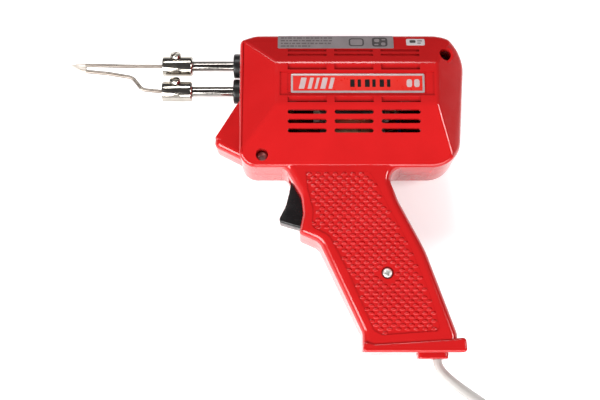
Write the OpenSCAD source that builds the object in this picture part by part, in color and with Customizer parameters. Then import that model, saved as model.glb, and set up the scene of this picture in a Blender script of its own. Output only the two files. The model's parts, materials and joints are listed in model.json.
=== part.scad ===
// Pistol-type transformer soldering gun, lying on its right side on a table.
// +X runs from the tip to the back of the housing, +Y from the grip to the top of the
// housing, and +Z up from the table through the side that faces up.
// Modules are drawn in the gun's own frame: the front foot of the housing on the parting
// plane, with Z = 0 on that plane. gun_place() carries them to the table frame.

/* [Housing] */
// Length of the housing, front to back
body_len = 134; // [128:1:160]
// Height of the housing above the grip
body_h = 80.5; // [76:0.5:97]
// Half of the housing's thickness, at the flat of its side
half_w = 30; // [29:0.5:36]
// Wall of the two shells
wall = 2.6; // [2:0.1:3.2]
// Start of the flat of the side, from the front
flat_front = 22; // [18:1:25]
// End of the flat of the side, from the back
flat_back = 17.7; // [15:0.5:22]
// Lower edge of the flat, above the housing's foot
flat_low = 35.2; // [32:0.5:38]
// Height of the flat
flat_h = 25.6; // [24:0.5:30]
// Half thickness at the housing's front edge
front_half = 22; // [20:0.5:24]
// Half thickness at the housing's back edge
back_half = 14; // [13:0.5:16]
// Half thickness at the housing's foot
foot_half = 20; // [18:0.5:22]
// Half thickness at the housing's top edge
top_half = 21; // [19:0.5:23]
// How far the back leans in from its top to its foot
back_lean = 4.5; // [0:0.5:6]
// Radius of the upper back corner
back_r = 19.5; // [12:0.5:22]
// Radius of the lower back corner
heel_r = 17; // [10:0.5:20]

/* [Grip] */
// Drop of the grip, from the housing's foot to the base
grip_drop = 107.4; // [95:0.5:130]
// Half thickness of the grip at the housing
grip_half = 20; // [17:0.5:22]
// Half thickness of the grip at its base
base_half = 15; // [14:0.5:17]
// Height of the flared base plate
base_h = 8.6; // [6:0.2:11]

/* [Lamp nose] */
// How far the nose stands out in front
nose_reach = 15.4; // [12:0.2:18]
// Half thickness of the nose
nose_half = 12; // [10:0.5:14]
// Diameter of the lamp's lens
lens_d = 12; // [8:0.5:14]

/* [Vents] */
// Length of one vent slot
slot_len = 22.8; // [16:0.2:24]
// Distance between the columns of slots
slot_pitch = 27.4; // [25:0.2:30]
// Start of the first column, from the front
slot_start = 28.6; // [26:0.2:32]
// Height of a slot on the lower slope
slot_h = 2.6; // [2:0.1:3]
// Distance between the rows on the lower slope
slot_row = 5.25; // [5:0.05:6]
// Height of the louvres on the flat
louvre_h = 3.6; // [3:0.1:4]

/* [Labels] */
// Length of the nameplate
plate_len = 78.2; // [60:0.2:82]
// Height of the nameplate
plate_h = 11.6; // [9:0.2:12]
// Depth of the channel that holds the nameplate
channel_depth = 0.8; // [0.5:0.1:1]
// Thickness of the nameplate
plate_t = 0.5; // [0.3:0.1:0.6]

/* [Tip and bars] */
// Diameter of the two output bars
bar_d = 6.2; // [5.6:0.1:7]
// Distance between the bars
bar_gap = 16.2; // [15.8:0.1:18]
// Height of the pair of bars above the housing's foot
bar_y = 59.9; // [57:0.1:62]
// How far the bars reach in front of the housing
bar_reach = 37; // [32:1:45]
// Diameter of the tip sockets
socket_d = 12.3; // [11:0.1:13]
// Length of the tip sockets
socket_len = 18.4; // [16:0.2:22]
// Diameter of the tip's wire
wire_d = 2.4; // [2:0.1:3]
// How far the tip's point is in front of the housing
tip_reach = 105.6; // [95:0.2:125]
// Diameter of the bushings' flanges
flange_d = 15; // [12:0.1:15.4]
// Thickness of the bushings' flanges
flange_t = 4.8; // [2:0.1:6]

/* [Trigger] */
// Half thickness of the trigger
trigger_half = 6.5; // [5:0.5:8]
// Diameter of the trigger's pin
pin_d = 3; // [2.5:0.1:4]
// Running clearance around the trigger's pin
pin_fit = 0.05; // [0.02:0.01:0.09]
// Gap between the trigger and its slot, each side
trigger_gap = 0.6; // [0.4:0.1:1]

/* [Transformer] */
// Height of the core's window pair, the length of a lamination
core_h = 54; // [48:1:56]
// Depth of a lamination, across the gun
core_w = 36; // [32:1:38]
// Thickness of the stack of laminations
stack = 38; // [30:1:44]
// Width of the core's middle leg
leg = 16; // [14:1:18]
// Width of a window
window_h = 11; // [10.6:0.1:12]
// Thickness of the primary winding
winding_t = 2.8; // [2:0.1:3]
// Diameter of the copper loop inside the housing
loop_d = 5.6; // [5:0.1:6]

/* [Screws] */
// Diameter of the housing screws' heads
head_d = 6.2; // [5.4:0.1:6.6]
// Diameter of the housing screws' shanks
shank_d = 3.4; // [3:0.1:3.8]
// Clearance around a screw's head and shank
screw_fit = 0.5; // [0.3:0.05:0.6]

/* [Mains lead] */
// Width of the flat lead
lead_w = 7.2; // [6:0.2:8]
// Thickness of the flat lead
lead_t = 4.8; // [4:0.2:5.4]
// Reach of the gland below the grip's base
gland_h = 3.2; // [2:0.2:6]
// Length of the gland
gland_len = 17.8; // [14:0.2:20]
// Diameter of the plug's pins
plug_pin_d = 4; // [4:0.1:4.8]
// Length of the plug's pins
plug_pin_len = 19; // [17:0.5:20]
// Distance between the plug's pins
plug_pin_gap = 18.6; // [17:0.1:19]

/* [Hidden] */

$fn = 40;
arc_step = 12;
far = 8;
skin = 0.02;

red = [0.86, 0.1, 0.1];
black = [0.08, 0.08, 0.09];
nickel = [0.78, 0.77, 0.74];
copper = [0.8, 0.45, 0.25];

// Where the gun's frame sits in the table frame: the whole gun is centred over the
// origin and lies on the flat of its right side.
gun_x = (tip_reach - body_len) / 2;
gun_y = (grip_drop + gland_h - body_h) / 2;

// Slopes of the four faces around the flat
flat_top = flat_low + flat_h;
flat_end = body_len - flat_back;
front_slope = (half_w - front_half) / flat_front;
back_slope = (half_w - back_half) / flat_back;
foot_slope = (half_w - foot_half) / flat_low;
top_slope = (half_w - top_half) / (body_h - flat_top);
top_tilt = atan(top_slope);
foot_tilt = atan(foot_slope);
back_tilt = back_lean / (body_h - back_r);

// Outline of the housing, seen from the side: [x, y, corner radius]
housing_side = [
    [0, 0, 10],
    [body_len - back_lean, 0, heel_r],
    [body_len + back_tilt * back_r, body_h, back_r],
    [9, body_h, 14],
    [0, body_h - 3.7, 4]];

// Section across the flat from front to back: [x, z, corner radius]
housing_plan = [
    [-far, -far, 0],
    [body_len + far, -far, 0],
    [body_len + far, back_half - back_slope * far, 0],
    [flat_end, half_w, 5],
    [flat_front, half_w, 6],
    [-far, front_half - front_slope * far, 0]];

// Section across the flat from foot to top: [y, z, corner radius]
housing_end = [
    [-far, -far, 0],
    [body_h + far, -far, 0],
    [body_h + far, top_half - top_slope * far, 0],
    [flat_top, half_w, 4],
    [flat_low, half_w, 5],
    [-far, foot_half - foot_slope * far, 0]];

// Outline of the grip, which runs up into the housing
root_y = 12;
grip_side = [
    [18, root_y, 0],
    [18, 0, 0],
    [27, 0, 5],
    [36.6, -17, 10],
    [37.6, -27, 6],
    [35.2, -38.8, 1.8],
    [47, -44, 8],
    [71.6, -grip_drop + 11, 6],
    [71.6, -grip_drop, 0],
    [126.2, -grip_drop, 0],
    [126.2, -grip_drop + 10.6, 4],
    [108.6, -48.5, 60],
    [93.6, -20, 30],
    [85.6, 0, 7],
    [97, 0, 0],
    [97, root_y, 0]];
grip_end = [
    [-grip_drop - far, -far, 0],
    [root_y + far, -far, 0],
    [root_y + far, grip_half, 0],
    [0, grip_half, 0],
    [-grip_drop - far, base_half, 0]];

base_x0 = 71.4;
base_x1 = 131.6;
base_side = [
    [base_x0, -grip_drop, 0.8],
    [base_x1, -grip_drop, 0.8],
    [base_x1 - 0.8, -grip_drop + base_h, 1.5],
    [base_x0 + 52, -grip_drop + base_h - 0.8, 3],
    [base_x0 + 7, -grip_drop + base_h - 3.6, 3],
    [base_x0 + 1, -grip_drop + base_h - 2, 1.5]];

nose_top = 45.5;
nose_chin = 19.6;
nose_side = [
    [8, 3.2, 0],
    [8, nose_top, 0],
    [1, nose_top, 0],
    [-nose_reach + 0.6, nose_chin, 3],
    [-nose_reach + 0.1, 14.8, 4]];

// Lens on the sloping face of the nose
nose_run = [nose_reach + 0.4, nose_top - nose_chin];
lens_at = [1, nose_top] - 0.42 * nose_run;
lens_turn = atan2(nose_run[0], nose_run[1]);
lens_t = 2.2;
lens_fit = 0.05;

// The labels
plate_mid = [69.6, flat_low + 12.8];
plate_pocket = 0.4;
plate_floor = half_w - channel_depth - plate_pocket;
channel_low = flat_low + 5.2;
channel_high = flat_low + 19.8;
label_mid = flat_top + (body_h - flat_top) * 0.73;
label_t = 0.25;

// Bars, bushings and sockets
bar_up = bar_y + bar_gap / 2;
bar_down = bar_y - bar_gap / 2;
neck_d = bar_d + 3.4;
neck_fit = 0.05;
socket_x0 = -bar_reach - 11.4;
clamp_x = socket_x0 + socket_len * 0.44;
clamp_d = 4;
clamp_fit = 0.05;
clamp_head_d = 6.6;

// Trigger
pivot = [38, -7];
slot_low = -35.7;
slot_top = -3.2;
trigger_back = 45.4;
press_y = -22;
trigger_side = [
    [30.5, -5.8, 1],
    [29.2, -13, 12],
    [27.4, -20.5, 14],
    [23.4, -28.2, 3],
    [24, -30.6, 1.2],
    [36.8, -34.4, 4],
    [44, -34.8, 1],
    [trigger_back, -30, 2],
    [trigger_back, -14, 2],
    [42.5, -7, 0],
    [42, -2.6, 4],
    [34, -2.6, 3]];

// Switch
switch_x0 = 56;
switch_len = 24;
switch_low = -32;
switch_h = 18;
switch_half = 7;
plunger_d = 4.6;
plunger_fit = 0.05;
press_gap = 0.4;
nib_r = 3;
spring_wire = 0.5;
spring_turns = 4;

// Transformer
core_x0 = 48;
core_mid_y = 45.5;
core_mid_x = core_x0 + stack / 2;
yoke = (core_w - 20) / 2;
window_w = core_w - 2 * yoke;
bobbin_t = 0.8;
coil_gap = 0.1;
tape_t = 0.3;
bobbin_out = bobbin_t + coil_gap;
winding_in = bobbin_out + 0.02;
winding_out = winding_in + winding_t;
loop_y = leg / 2 + window_h - loop_d / 2 - 0.25;
loop_back = core_x0 + stack + winding_out + tape_t + loop_d / 2 + 2.4;
jog_x = 20;
frame_t = 1.2;

// Housing screws: [x, y, depth of the head's recess below the outer face]
screw_front = [13.5, 6.9];
screw_back = [body_len - 12.2, body_h - 13.4];
screw_grip = [86.3, -grip_drop * 0.577];
recess_d = head_d + 2 * screw_fit;
boss_d = recess_d + 3;
head_t = 2.2;
head_z = [foot_half - 5.4, back_half - 3.4, grip_half - 5.8];
screw_at = [screw_front, screw_back, screw_grip];
pilot_d = shank_d - 0.4;

// Gland and mains lead
gland_x0 = 104;
gland_half = 7;
lead_x = gland_x0 + gland_len * 0.66;
lead_clear = 0.4;
clamp_y = -grip_drop + 3.6;
clamp_w = 6.4;
clamp_z = lead_t / 2 - 0.1;
post_x = lead_t / 2 + 2.2;
clamp_reach = post_x + 2.1;
coil_lift = 0.6;
ring_mid = 39.3;
ring_w = 2 * lead_w + 0.3;
ring_h = 3 * lead_t + 0.3;
ring_at = [134, -178];
tie_w = 11;
tie_t = 0.6;
plug_h = 13.7;
plug_w = 35.3;
plug_len = 35;
plug_at = [59, -222];

// Route of the lead's middle line in the table frame, from the gland to the coil
lead_route = [
    [101.6, -95.5, 30],
    [102.2, -99, 29.8],
    [105.5, -104, 29],
    [112, -109.5, 26.8],
    [119.4, -114.6, 23.2],
    [126, -118.9, 19.2],
    [133, -123.5, 14.8],
    [140, -128.2, 10.6],
    [147, -133, 7],
    [153.5, -137.7, 4.4],
    [159.8, -143.6, 3.2]];

// Route of the lead from the coil to the plug
tail_route = [
    [134, -221, 12.8],
    [127, -221.3, 12.3],
    [120, -221.8, 10.4],
    [113, -222, 8.2],
    [106, -222, 7],
    [97, -222, 6.85]];

// ---------------------------------------------------------------- outlines

function unit(v) = v / norm(v);
function left_of(v) = unit([-v[1], v[0]]);
function flat(v) = [v[0], v[1]];
function wrap(a) = a > 180 ? a - 360 : a <= -180 ? a + 360 : a;
function item(list, i) = list[(i + len(list)) % len(list)];

// The same outline, d further in, with its corners' radii to suit
function inset(p, d) = [for (i = [0:len(p) - 1])
    let (a = flat(item(p, i - 1)), b = flat(p[i]), c = flat(item(p, i + 1)),
         m = left_of(b - a), n = left_of(c - b),
         q = b + (m + n) * d / (1 + m * n),
         r = cross(b - a, c - b) > 0 ? max(p[i][2] - d, 0) : p[i][2] + d)
    [q[0], q[1], p[i][2] == 0 ? 0 : r]];

// Points of an outline with its corners rounded
function corner(a, b, c, r) =
    let (u = unit(a - b), v = unit(c - b), half = acos(u * v) / 2,
         mid = b + unit(u + v) * r / sin(half),
         from = b + u * r / tan(half), to = b + v * r / tan(half),
         a0 = atan2(from[1] - mid[1], from[0] - mid[0]),
         turn = wrap(atan2(to[1] - mid[1], to[0] - mid[0]) - a0),
         n = max(1, ceil(abs(turn) / arc_step)))
    [for (k = [0:n]) mid + r * [cos(a0 + turn * k / n), sin(a0 + turn * k / n)]];
function rounded(p) = [for (i = [0:len(p) - 1])
    let (a = flat(item(p, i - 1)), b = flat(p[i]), c = flat(item(p, i + 1)))
    each (p[i][2] == 0 ? [b] : corner(a, b, c, p[i][2]))];

// Half thickness of the housing at a point of its side
function side_z(x, y) = min(
    half_w,
    half_w - front_slope * (flat_front - x),
    half_w - back_slope * (x - flat_end),
    half_w - foot_slope * (flat_low - y),
    half_w - top_slope * (y - flat_top));

module gun_place() {
    translate([gun_x, gun_y, half_w]) children();
}

// ---------------------------------------------------------------- swept tubes

// Catmull-Rom point between b and c
function between(a, b, c, d, t) = 0.5 * (2 * b + (c - a) * t
    + (2 * a - 5 * b + 4 * c - d) * t * t + (3 * b - a - 3 * c + d) * t * t * t);
function smooth(p, n) = [for (i = [0:len(p) - 2], k = [0:n - 1])
    between(p[max(i - 1, 0)], p[i], p[i + 1], p[min(i + 2, len(p) - 1)], k / n),
    p[len(p) - 1]];
function heading(p, i) = unit(p[min(i + 1, len(p) - 1)] - p[max(i - 1, 0)]);

// Rings of an oval section; its wide way turns from up to level over the first part
function oval_ring(p, i, w, t, turns, sides) =
    let (d = heading(p, i), side = unit(cross(d, [0, 0, 1])), up = cross(side, d),
         q = 90 * (1 - min(1, i / turns)),
         wide = side * cos(q) + up * sin(q), thin = up * cos(q) - side * sin(q))
    [for (k = [0:sides - 1]) p[i] + wide * w / 2 * cos(360 * k / sides)
        + thin * t / 2 * sin(360 * k / sides)];

module tube(rings) {
    n = len(rings);
    s = len(rings[0]);
    points = [for (r = rings) each r];
    walls = [for (i = [0:n - 2], k = [0:s - 1])
        let (m = (k + 1) % s)
        each [[i * s + k, i * s + m, (i + 1) * s + k],
            [i * s + m, (i + 1) * s + m, (i + 1) * s + k]]];
    start = [[for (k = [s - 1:-1:0]) k]];
    end = [[for (k = [0:s - 1]) (n - 1) * s + k]];
    polyhedron(points, concat(walls, start, end));
}

module flat_lead(route, turns) {
    p = smooth(route, 2);
    tube([for (i = [0:len(p) - 1]) oval_ring(p, i, lead_w, lead_t, turns, 12)]);
}

// A round wire through a list of points, its corners rounded by the curve
module wire(p, d, sides = 8, steps = 3) {
    path = smooth(p, steps);
    tube([for (i = [0:len(path) - 1])
        let (v = heading(path, i),
             side = unit(cross(v, abs(v[2]) > 0.9 ? [1, 0, 0] : [0, 0, 1])),
             up = cross(side, v))
        [for (k = [0:sides - 1]) path[i] + d / 2 * (side * cos(360 * k / sides)
            + up * sin(360 * k / sides))]]);
}

// ---------------------------------------------------------------- shells

module plate_xy(p, h) {
    linear_extrude(h) polygon(rounded(p));
}

module plate_xz(p, y0, y1) {
    translate([0, y1, 0]) rotate([90, 0, 0]) linear_extrude(y1 - y0) polygon(rounded(p));
}

module plate_yz(p, x0, x1) {
    translate([x0, 0, 0]) rotate([90, 0, 90]) linear_extrude(x1 - x0) polygon(rounded(p));
}

// Upper half of the gun's body without its base plate, all faces d further in
module body_half(d) {
    intersection() {
        plate_xy(inset(housing_side, d), half_w);
        plate_xz(inset(housing_plan, d), -far, body_h + far);
        plate_yz(inset(housing_end, d), -far, body_len + far);
    }
    intersection() {
        plate_xy(inset(grip_side, d), half_w);
        plate_yz(inset(grip_end, d), -far, body_len + far);
    }
    plate_xy(inset(nose_side, d), nose_half - d);
}

// One row of three slots, cut with a section given as [y, z] points
module slot_row(section) {
    for (i = [0:2])
        translate([slot_start + i * slot_pitch, 0, 0])
            rotate([90, 0, 90]) linear_extrude(slot_len) polygon(section);
}

// A louvre: open at its lower edge, with a sloping blade behind the rest
module louvre(low, z) {
    gap = 0.9;
    slot_row([[low, z + 1], [low, z - 2 * wall], [low + gap, z - 2 * wall],
        [low + gap, z - wall * 0.75], [low + louvre_h, z - 0.25],
        [low + louvre_h, z + 1]]);
}

// A plain slot with round ends, square to the sloping face below the flat
module plain_slots(y) {
    for (i = [0:2])
        translate([slot_start + i * slot_pitch, y, side_z(slot_start, y)])
            rotate([-foot_tilt, 0, 0])
            for (x = [slot_h / 2, slot_len - slot_h / 2]) {
                translate([x, 0, -2 * wall]) cylinder(d = slot_h, h = 3 * wall);
                translate([slot_h / 2, -slot_h / 2, -2 * wall])
                    cube([slot_len - slot_h, slot_h, 3 * wall]);
            }
}

// Thin slots in the sloping face above the flat
module top_slots(y) {
    for (i = [0:2])
        translate([slot_start + i * slot_pitch, y, side_z(slot_start + 20, y)])
            rotate([top_tilt + 180, 0, 0])
            translate([0, -0.9, -wall])
            cube([slot_len, 1.8, 3 * wall]);
}

module vents() {
    for (k = [1:3]) plain_slots(flat_low + 1 - k * slot_row);
    louvre(flat_low + 21, half_w);
    louvre(flat_low + 1.1, half_w);
    for (k = [0, 1]) top_slots(flat_top + 5.1 + 3.2 * k);
}

module label_pocket() {
    translate([24, channel_low, half_w - channel_depth])
        cube([flat_end - 26, channel_high - channel_low, far]);
    translate([plate_mid[0] - plate_len / 2 - 2, plate_mid[1] - plate_h / 2 - 0.2,
        plate_floor])
        cube([plate_len + 3, plate_h + 0.4, far]);
}

module bosses() {
    for (i = [0:2])
        translate([screw_at[i][0], screw_at[i][1], 0])
            cylinder(d = boss_d, h = head_z[i] + 1.5);
    translate([pivot[0], pivot[1], trigger_half + trigger_gap])
        cylinder(d = pin_d + 5, h = grip_half - trigger_half - trigger_gap - 1);
}

module trigger_slot() {
    translate([18, slot_low, -trigger_half - trigger_gap])
        cube([28, slot_top - slot_low, 2 * (trigger_half + trigger_gap)]);
}

// Openings that both halves share
module shared_openings() {
    trigger_slot();
    for (y = [bar_up, bar_down])
        translate([-far, y, 0]) rotate([0, 90, 0])
            cylinder(d = neck_d + 2 * neck_fit, h = 3 * far);
    translate([lens_at[0], lens_at[1], 0]) rotate([0, 0, 90 - lens_turn])
        translate([0, far, 0]) rotate([90, 0, 0])
        cylinder(d = lens_d + 2 * lens_fit, h = 2 * far);
    translate([lead_x, -grip_drop - far, 0]) rotate([-90, 0, 0])
        cylinder(d = lead_w + 2 * lead_clear, h = 2 * far);
}

// What keeps the inside parts in place, common to both halves
module ribs() {
    // cradle of the switch
    translate([switch_x0 + 4, switch_low - 2.1, switch_half + 0.1])
        cube([2, switch_h + 4, grip_half - switch_half - 3]);
    translate([switch_x0 + switch_len - 6, switch_low - 2.1, switch_half + 0.1])
        cube([2, switch_h + 4, grip_half - switch_half - 3]);
    // fins that tie the upper screw's boss to the walls
    translate([screw_back[0], screw_back[1] - 1, 0]) cube([2 * far, 2, head_z[1]]);
    translate([screw_back[0] - 1, screw_back[1], 0]) cube([2, 2 * far, head_z[1]]);
    // pads that hold the core
    for (y = [channel_low + 1, channel_high - 5])
        translate([core_x0 + 6, y, core_w / 2 + frame_t + 0.1])
            cube([stack - 12, 2, half_w - core_w / 2 - frame_t - 2]);
}

module shell() {
    difference() {
        union() {
            difference() {
                union() {
                    body_half(0);
                    plate_xy(base_side, base_half);
                }
                translate([0, 0, -skin]) body_half(wall);
            }
            intersection() {
                body_half(wall / 2);
                union() {
                    bosses();
                    ribs();
                }
            }
        }
        vents();
        label_pocket();
        shared_openings();
    }
}

module housing_left() {
    color(red) gun_place() difference() {
        shell();
        translate([pivot[0], pivot[1], -1]) cylinder(d = pin_d, h = grip_half - 3);
        for (i = [0:2])
            translate([screw_at[i][0], screw_at[i][1], 0]) {
                translate([0, 0, -1]) cylinder(d = shank_d + screw_fit, h = half_w + 2);
                translate([0, 0, head_z[i]]) cylinder(d = recess_d, h = half_w);
            }
    }
}

module housing_right() {
    color(red) gun_place() mirror([0, 0, 1]) difference() {
        union() {
            shell();
            clamp_posts();
        }
        translate([pivot[0], pivot[1], -1]) cylinder(d = pin_d, h = grip_half - 3);
        for (i = [0:2])
            translate([screw_at[i][0], screw_at[i][1], -1])
                cylinder(d = pilot_d, h = head_z[i]);
    }
}

// Cross recess of a screw head, cut from above
module cross_cut(d, depth) {
    for (a = [45, 135])
        rotate([0, 0, a]) translate([-d / 2, -d / 10, -depth])
            cube([d, d / 5, depth + 1]);
}

module housing_screws() {
    color(nickel) gun_place()
        for (i = [0:2])
            translate([screw_at[i][0], screw_at[i][1], head_z[i]])
                difference() {
                    union() {
                        cylinder(d = head_d, h = head_t * 0.55);
                        translate([0, 0, head_t * 0.55])
                            cylinder(d1 = head_d, d2 = head_d * 0.62, h = head_t * 0.45);
                        translate([0, 0, 2 - 2 * head_z[i]])
                            cylinder(d = shank_d, h = 2 * head_z[i] - 2 + skin);
                    }
                    translate([0, 0, head_t]) cross_cut(head_d * 0.6, 1.4);
                }
}

module nameplate() {
    color("silver") gun_place()
        translate([plate_mid[0] - plate_len / 2, plate_mid[1] - plate_h / 2, plate_floor])
        difference() {
            cube([plate_len, plate_h, plate_t]);
            translate([1.2, 1.2, plate_t - 0.12])
                cube([plate_len - 2.4, plate_h - 2.4, 1]);
        }
}

// A thin label with round corners on the sloping face above the flat
module slope_label(x0, x1, h, mid) {
    translate([0, mid, side_z(slot_start + 20, mid)])
        rotate([-top_tilt, 0, 0])
        plate_xy([[x0, -h / 2, 1], [x1, -h / 2, 1], [x1, h / 2, 1], [x0, h / 2, 1]], label_t);
}

module rating_label() {
    color("silver") gun_place() slope_label(22.6, 91.4, 10, label_mid);
}

module date_label() {
    color("white") gun_place() slope_label(99, 110, 5, label_mid);
}

// ---------------------------------------------------------------- lamp

module along_lens() {
    translate([lens_at[0], lens_at[1], 0]) rotate([0, 0, 90 - lens_turn + 90])
        rotate([0, 90, 0]) children();
}

module lamp_lens() {
    color([0.9, 0.95, 1, 0.5]) gun_place() along_lens()
        translate([0, 0, -lens_t]) cylinder(d = lens_d, h = lens_t);
}

module lamp_bulb() {
    color([1, 0.95, 0.8]) gun_place() along_lens() {
        translate([0, 0, -9]) sphere(d = 5.6);
        translate([0, 0, -18]) cylinder(d = 4.4, h = 8);
    }
}

module lamp_holder() {
    color(black) gun_place() along_lens()
        translate([0, 0, -21])
        difference() {
            cylinder(d = 8, h = 8);
            translate([0, 0, 3]) cylinder(d = 4.4, h = 8);
        }
}

// ---------------------------------------------------------------- transformer

module core_laminations() {
    color([0.35, 0.33, 0.32]) gun_place()
        translate([core_x0, core_mid_y - core_h / 2, -core_w / 2])
        difference() {
            cube([stack, core_h, core_w]);
            for (s = [-1, 1])
                translate([-1, core_h / 2 + s * (leg / 2 + window_h / 2) - window_h / 2,
                    yoke])
                    cube([stack + 2, window_h, window_w]);
        }
}

// A steel channel over the foot of the core, with a low side on each face
module core_frame() {
    color([0.7, 0.6, 0.35]) gun_place()
        translate([core_x0 + 3, core_mid_y - core_h / 2 - frame_t, 0])
        difference() {
            translate([0, 0, -core_w / 2 - frame_t])
                cube([stack - 6, 14, core_w + 2 * frame_t]);
            translate([-1, frame_t, -core_w / 2]) cube([stack, 14, core_w]);
        }
}

// A rectangular ring around the core's middle leg
module coil_ring(inner, outer, h) {
    translate([core_mid_x, core_mid_y, -h / 2])
        difference() {
            translate([-stack / 2 - outer, -leg / 2 - outer, 0])
                cube([stack + 2 * outer, leg + 2 * outer, h]);
            translate([-stack / 2 - inner, -leg / 2 - inner, -1])
                cube([stack + 2 * inner, leg + 2 * inner, h + 2]);
        }
}

module coil_bobbin() {
    color([0.85, 0.8, 0.65]) gun_place() {
        coil_ring(coil_gap, bobbin_out, window_w - 0.4);
        for (s = [-1, 1])
            translate([0, 0, s * (window_w / 2 - 0.7)])
                coil_ring(bobbin_out, winding_out + tape_t, 1);
    }
}

module primary_winding() {
    color(copper) gun_place() coil_ring(bobbin_out, winding_out, window_w - 2.6);
}

module winding_tape() {
    color([0.9, 0.75, 0.2]) gun_place()
        coil_ring(winding_out, winding_out + tape_t, window_w - 2.6);
}

// One thick turn: in through the upper window, round the back and out by the lower one
module secondary_loop() {
    up = core_mid_y + loop_y;
    down = core_mid_y - loop_y;
    color(copper) gun_place()
        wire([[wall + 4, bar_up, 0], [wall + 10, bar_up, 0], [jog_x, bar_up - 0.6, 0],
            [jog_x + 12, up + 0.6, 0], [core_x0 - 8, up, 0], [core_x0, up, 0],
            [core_mid_x, up, 0], [loop_back - 7, up, 0], [loop_back - 1.9, up - 1.9, 0],
            [loop_back, up - 7, 0], [loop_back, down + 7, 0],
            [loop_back - 1.9, down + 1.9, 0], [loop_back - 7, down, 0],
            [core_mid_x, down, 0], [core_x0, down, 0], [core_x0 - 8, down, 0],
            [jog_x + 14, down + 2, 0], [jog_x, bar_down - 1, 0],
            [wall + 10, bar_down, 0], [wall + 4, bar_down, 0]], loop_d, 12);
}

module output_bars() {
    color(nickel) gun_place()
        for (y = [bar_up, bar_down])
            translate([-bar_reach, y, 0]) rotate([0, 90, 0])
                difference() {
                    cylinder(d = bar_d, h = bar_reach + wall + 12);
                    translate([0, 0, bar_reach + wall + 4]) cylinder(d = loop_d, h = 9);
                }
}

module bushing(y) {
    color(black) gun_place() translate([0, y, 0]) rotate([0, 90, 0])
        difference() {
            union() {
                translate([0, 0, -flange_t]) cylinder(d1 = flange_d - 1, d2 = flange_d,
                    h = 1);
                translate([0, 0, -flange_t + 1]) cylinder(d = flange_d, h = flange_t - 1);
                translate([0, 0, -skin]) cylinder(d = neck_d, h = wall + 3);
            }
            translate([0, 0, -far]) cylinder(d = bar_d, h = 4 * far);
        }
}

module bushing_upper() {
    bushing(bar_up);
}

module bushing_lower() {
    bushing(bar_down);
}

// ---------------------------------------------------------------- tip

module socket(y) {
    chamfer = 1;
    color(nickel) gun_place() difference() {
        translate([socket_x0, y, 0]) rotate([0, 90, 0])
            difference() {
                union() {
                    cylinder(d1 = socket_d - chamfer, d2 = socket_d, h = chamfer / 2);
                    translate([0, 0, chamfer / 2])
                        cylinder(d = socket_d, h = socket_len - 1.5 * chamfer);
                    translate([0, 0, socket_len - chamfer])
                        cylinder(d1 = socket_d, d2 = socket_d - 2 * chamfer, h = chamfer);
                }
                translate([0, 0, -1]) cylinder(d = wire_d, h = socket_len);
                translate([0, 0, -socket_x0 - bar_reach]) cylinder(d = bar_d, h = socket_len);
            }
        clamp_place(y) cylinder(d = clamp_d + 2 * clamp_fit, h = socket_d);
    }
}

module clamp_place(y) {
    translate([clamp_x, y, 0]) rotate([-45, 0, 0]) children();
}

module clamp_screw(y) {
    color(nickel) gun_place() clamp_place(y)
        difference() {
            union() {
                translate([0, 0, wire_d / 2 + clamp_fit])
                    cylinder(d = clamp_d, h = socket_d / 2);
                translate([0, 0, socket_d / 2 + 0.2])
                    cylinder(d = clamp_head_d, h = 2.6);
            }
            translate([-far, -0.5, socket_d / 2 + 1.6]) cube([2 * far, 1, 3]);
        }
}

module tip_socket_upper() {
    socket(bar_up);
}

module tip_socket_lower() {
    socket(bar_down);
}

module tip_screw_upper() {
    clamp_screw(bar_up);
}

module tip_screw_lower() {
    clamp_screw(bar_down);
}

// A wire of straight lengths with a ball at each bend
module bent_wire(p, d) {
    for (i = [0:len(p) - 2]) {
        v = p[i + 1] - p[i];
        translate(p[i])
            rotate([0, acos(v[2] / norm(v)), atan2(v[1], v[0])])
            cylinder(d = d, h = norm(v));
        if (i > 0) translate(p[i]) sphere(d = d * 1.06);
    }
}

// Two legs that meet in a flattened point
module soldering_tip() {
    inside = -bar_reach - 0.5;
    bend = -tip_reach + 8;
    color(nickel) gun_place() {
        bent_wire([[inside, bar_up, 0], [socket_x0 - 20, bar_up, 0],
            [bend + 1, bar_up + 0.7, 0]], wire_d);
        bent_wire([[bend + 2, bar_up - 3.2, 0], [bend + 16, bar_up - 4.4, 0],
            [socket_x0 - 22, bar_down + 9.4, 0], [socket_x0 - 13.4, bar_down + 1.3, 0],
            [socket_x0 - 8, bar_down, 0], [inside, bar_down, 0]], wire_d);
        plate_xy_mid([[-tip_reach, bar_up + 0.4, 0.3], [-tip_reach + 5, bar_up - 2.6, 2],
            [bend + 3, bar_up - 4.2, 0.4], [bend + 3, bar_up - 2.2, 0.4],
            [bend - 1, bar_up - 1.2, 1],
            [bend + 3, bar_up - 0.2, 0.4], [bend + 3, bar_up + 1.7, 0.4],
            [bend - 2, bar_up + 1.9, 2]], wire_d * 0.74);
    }
}

module plate_xy_mid(p, h) {
    translate([0, 0, -h / 2]) plate_xy(p, h);
}

// ---------------------------------------------------------------- trigger and switch

module trigger() {
    color(black) gun_place() difference() {
        plate_xy_mid(trigger_side, 2 * trigger_half);
        translate([pivot[0], pivot[1], -far])
            cylinder(d = pin_d + 2 * pin_fit, h = 2 * far);
    }
}

module trigger_pin() {
    color(nickel) gun_place() translate([pivot[0], pivot[1], -grip_half + 4.2])
        cylinder(d = pin_d, h = 2 * grip_half - 8.4);
}

module switch_housing() {
    color([0.2, 0.2, 0.22]) gun_place()
        difference() {
            translate([switch_x0, switch_low, -switch_half])
                cube([switch_len, switch_h, 2 * switch_half]);
            translate([switch_x0 - 1, press_y, 0]) rotate([0, 90, 0])
                cylinder(d = plunger_d + 2 * plunger_fit, h = 14);
        }
}

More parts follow.
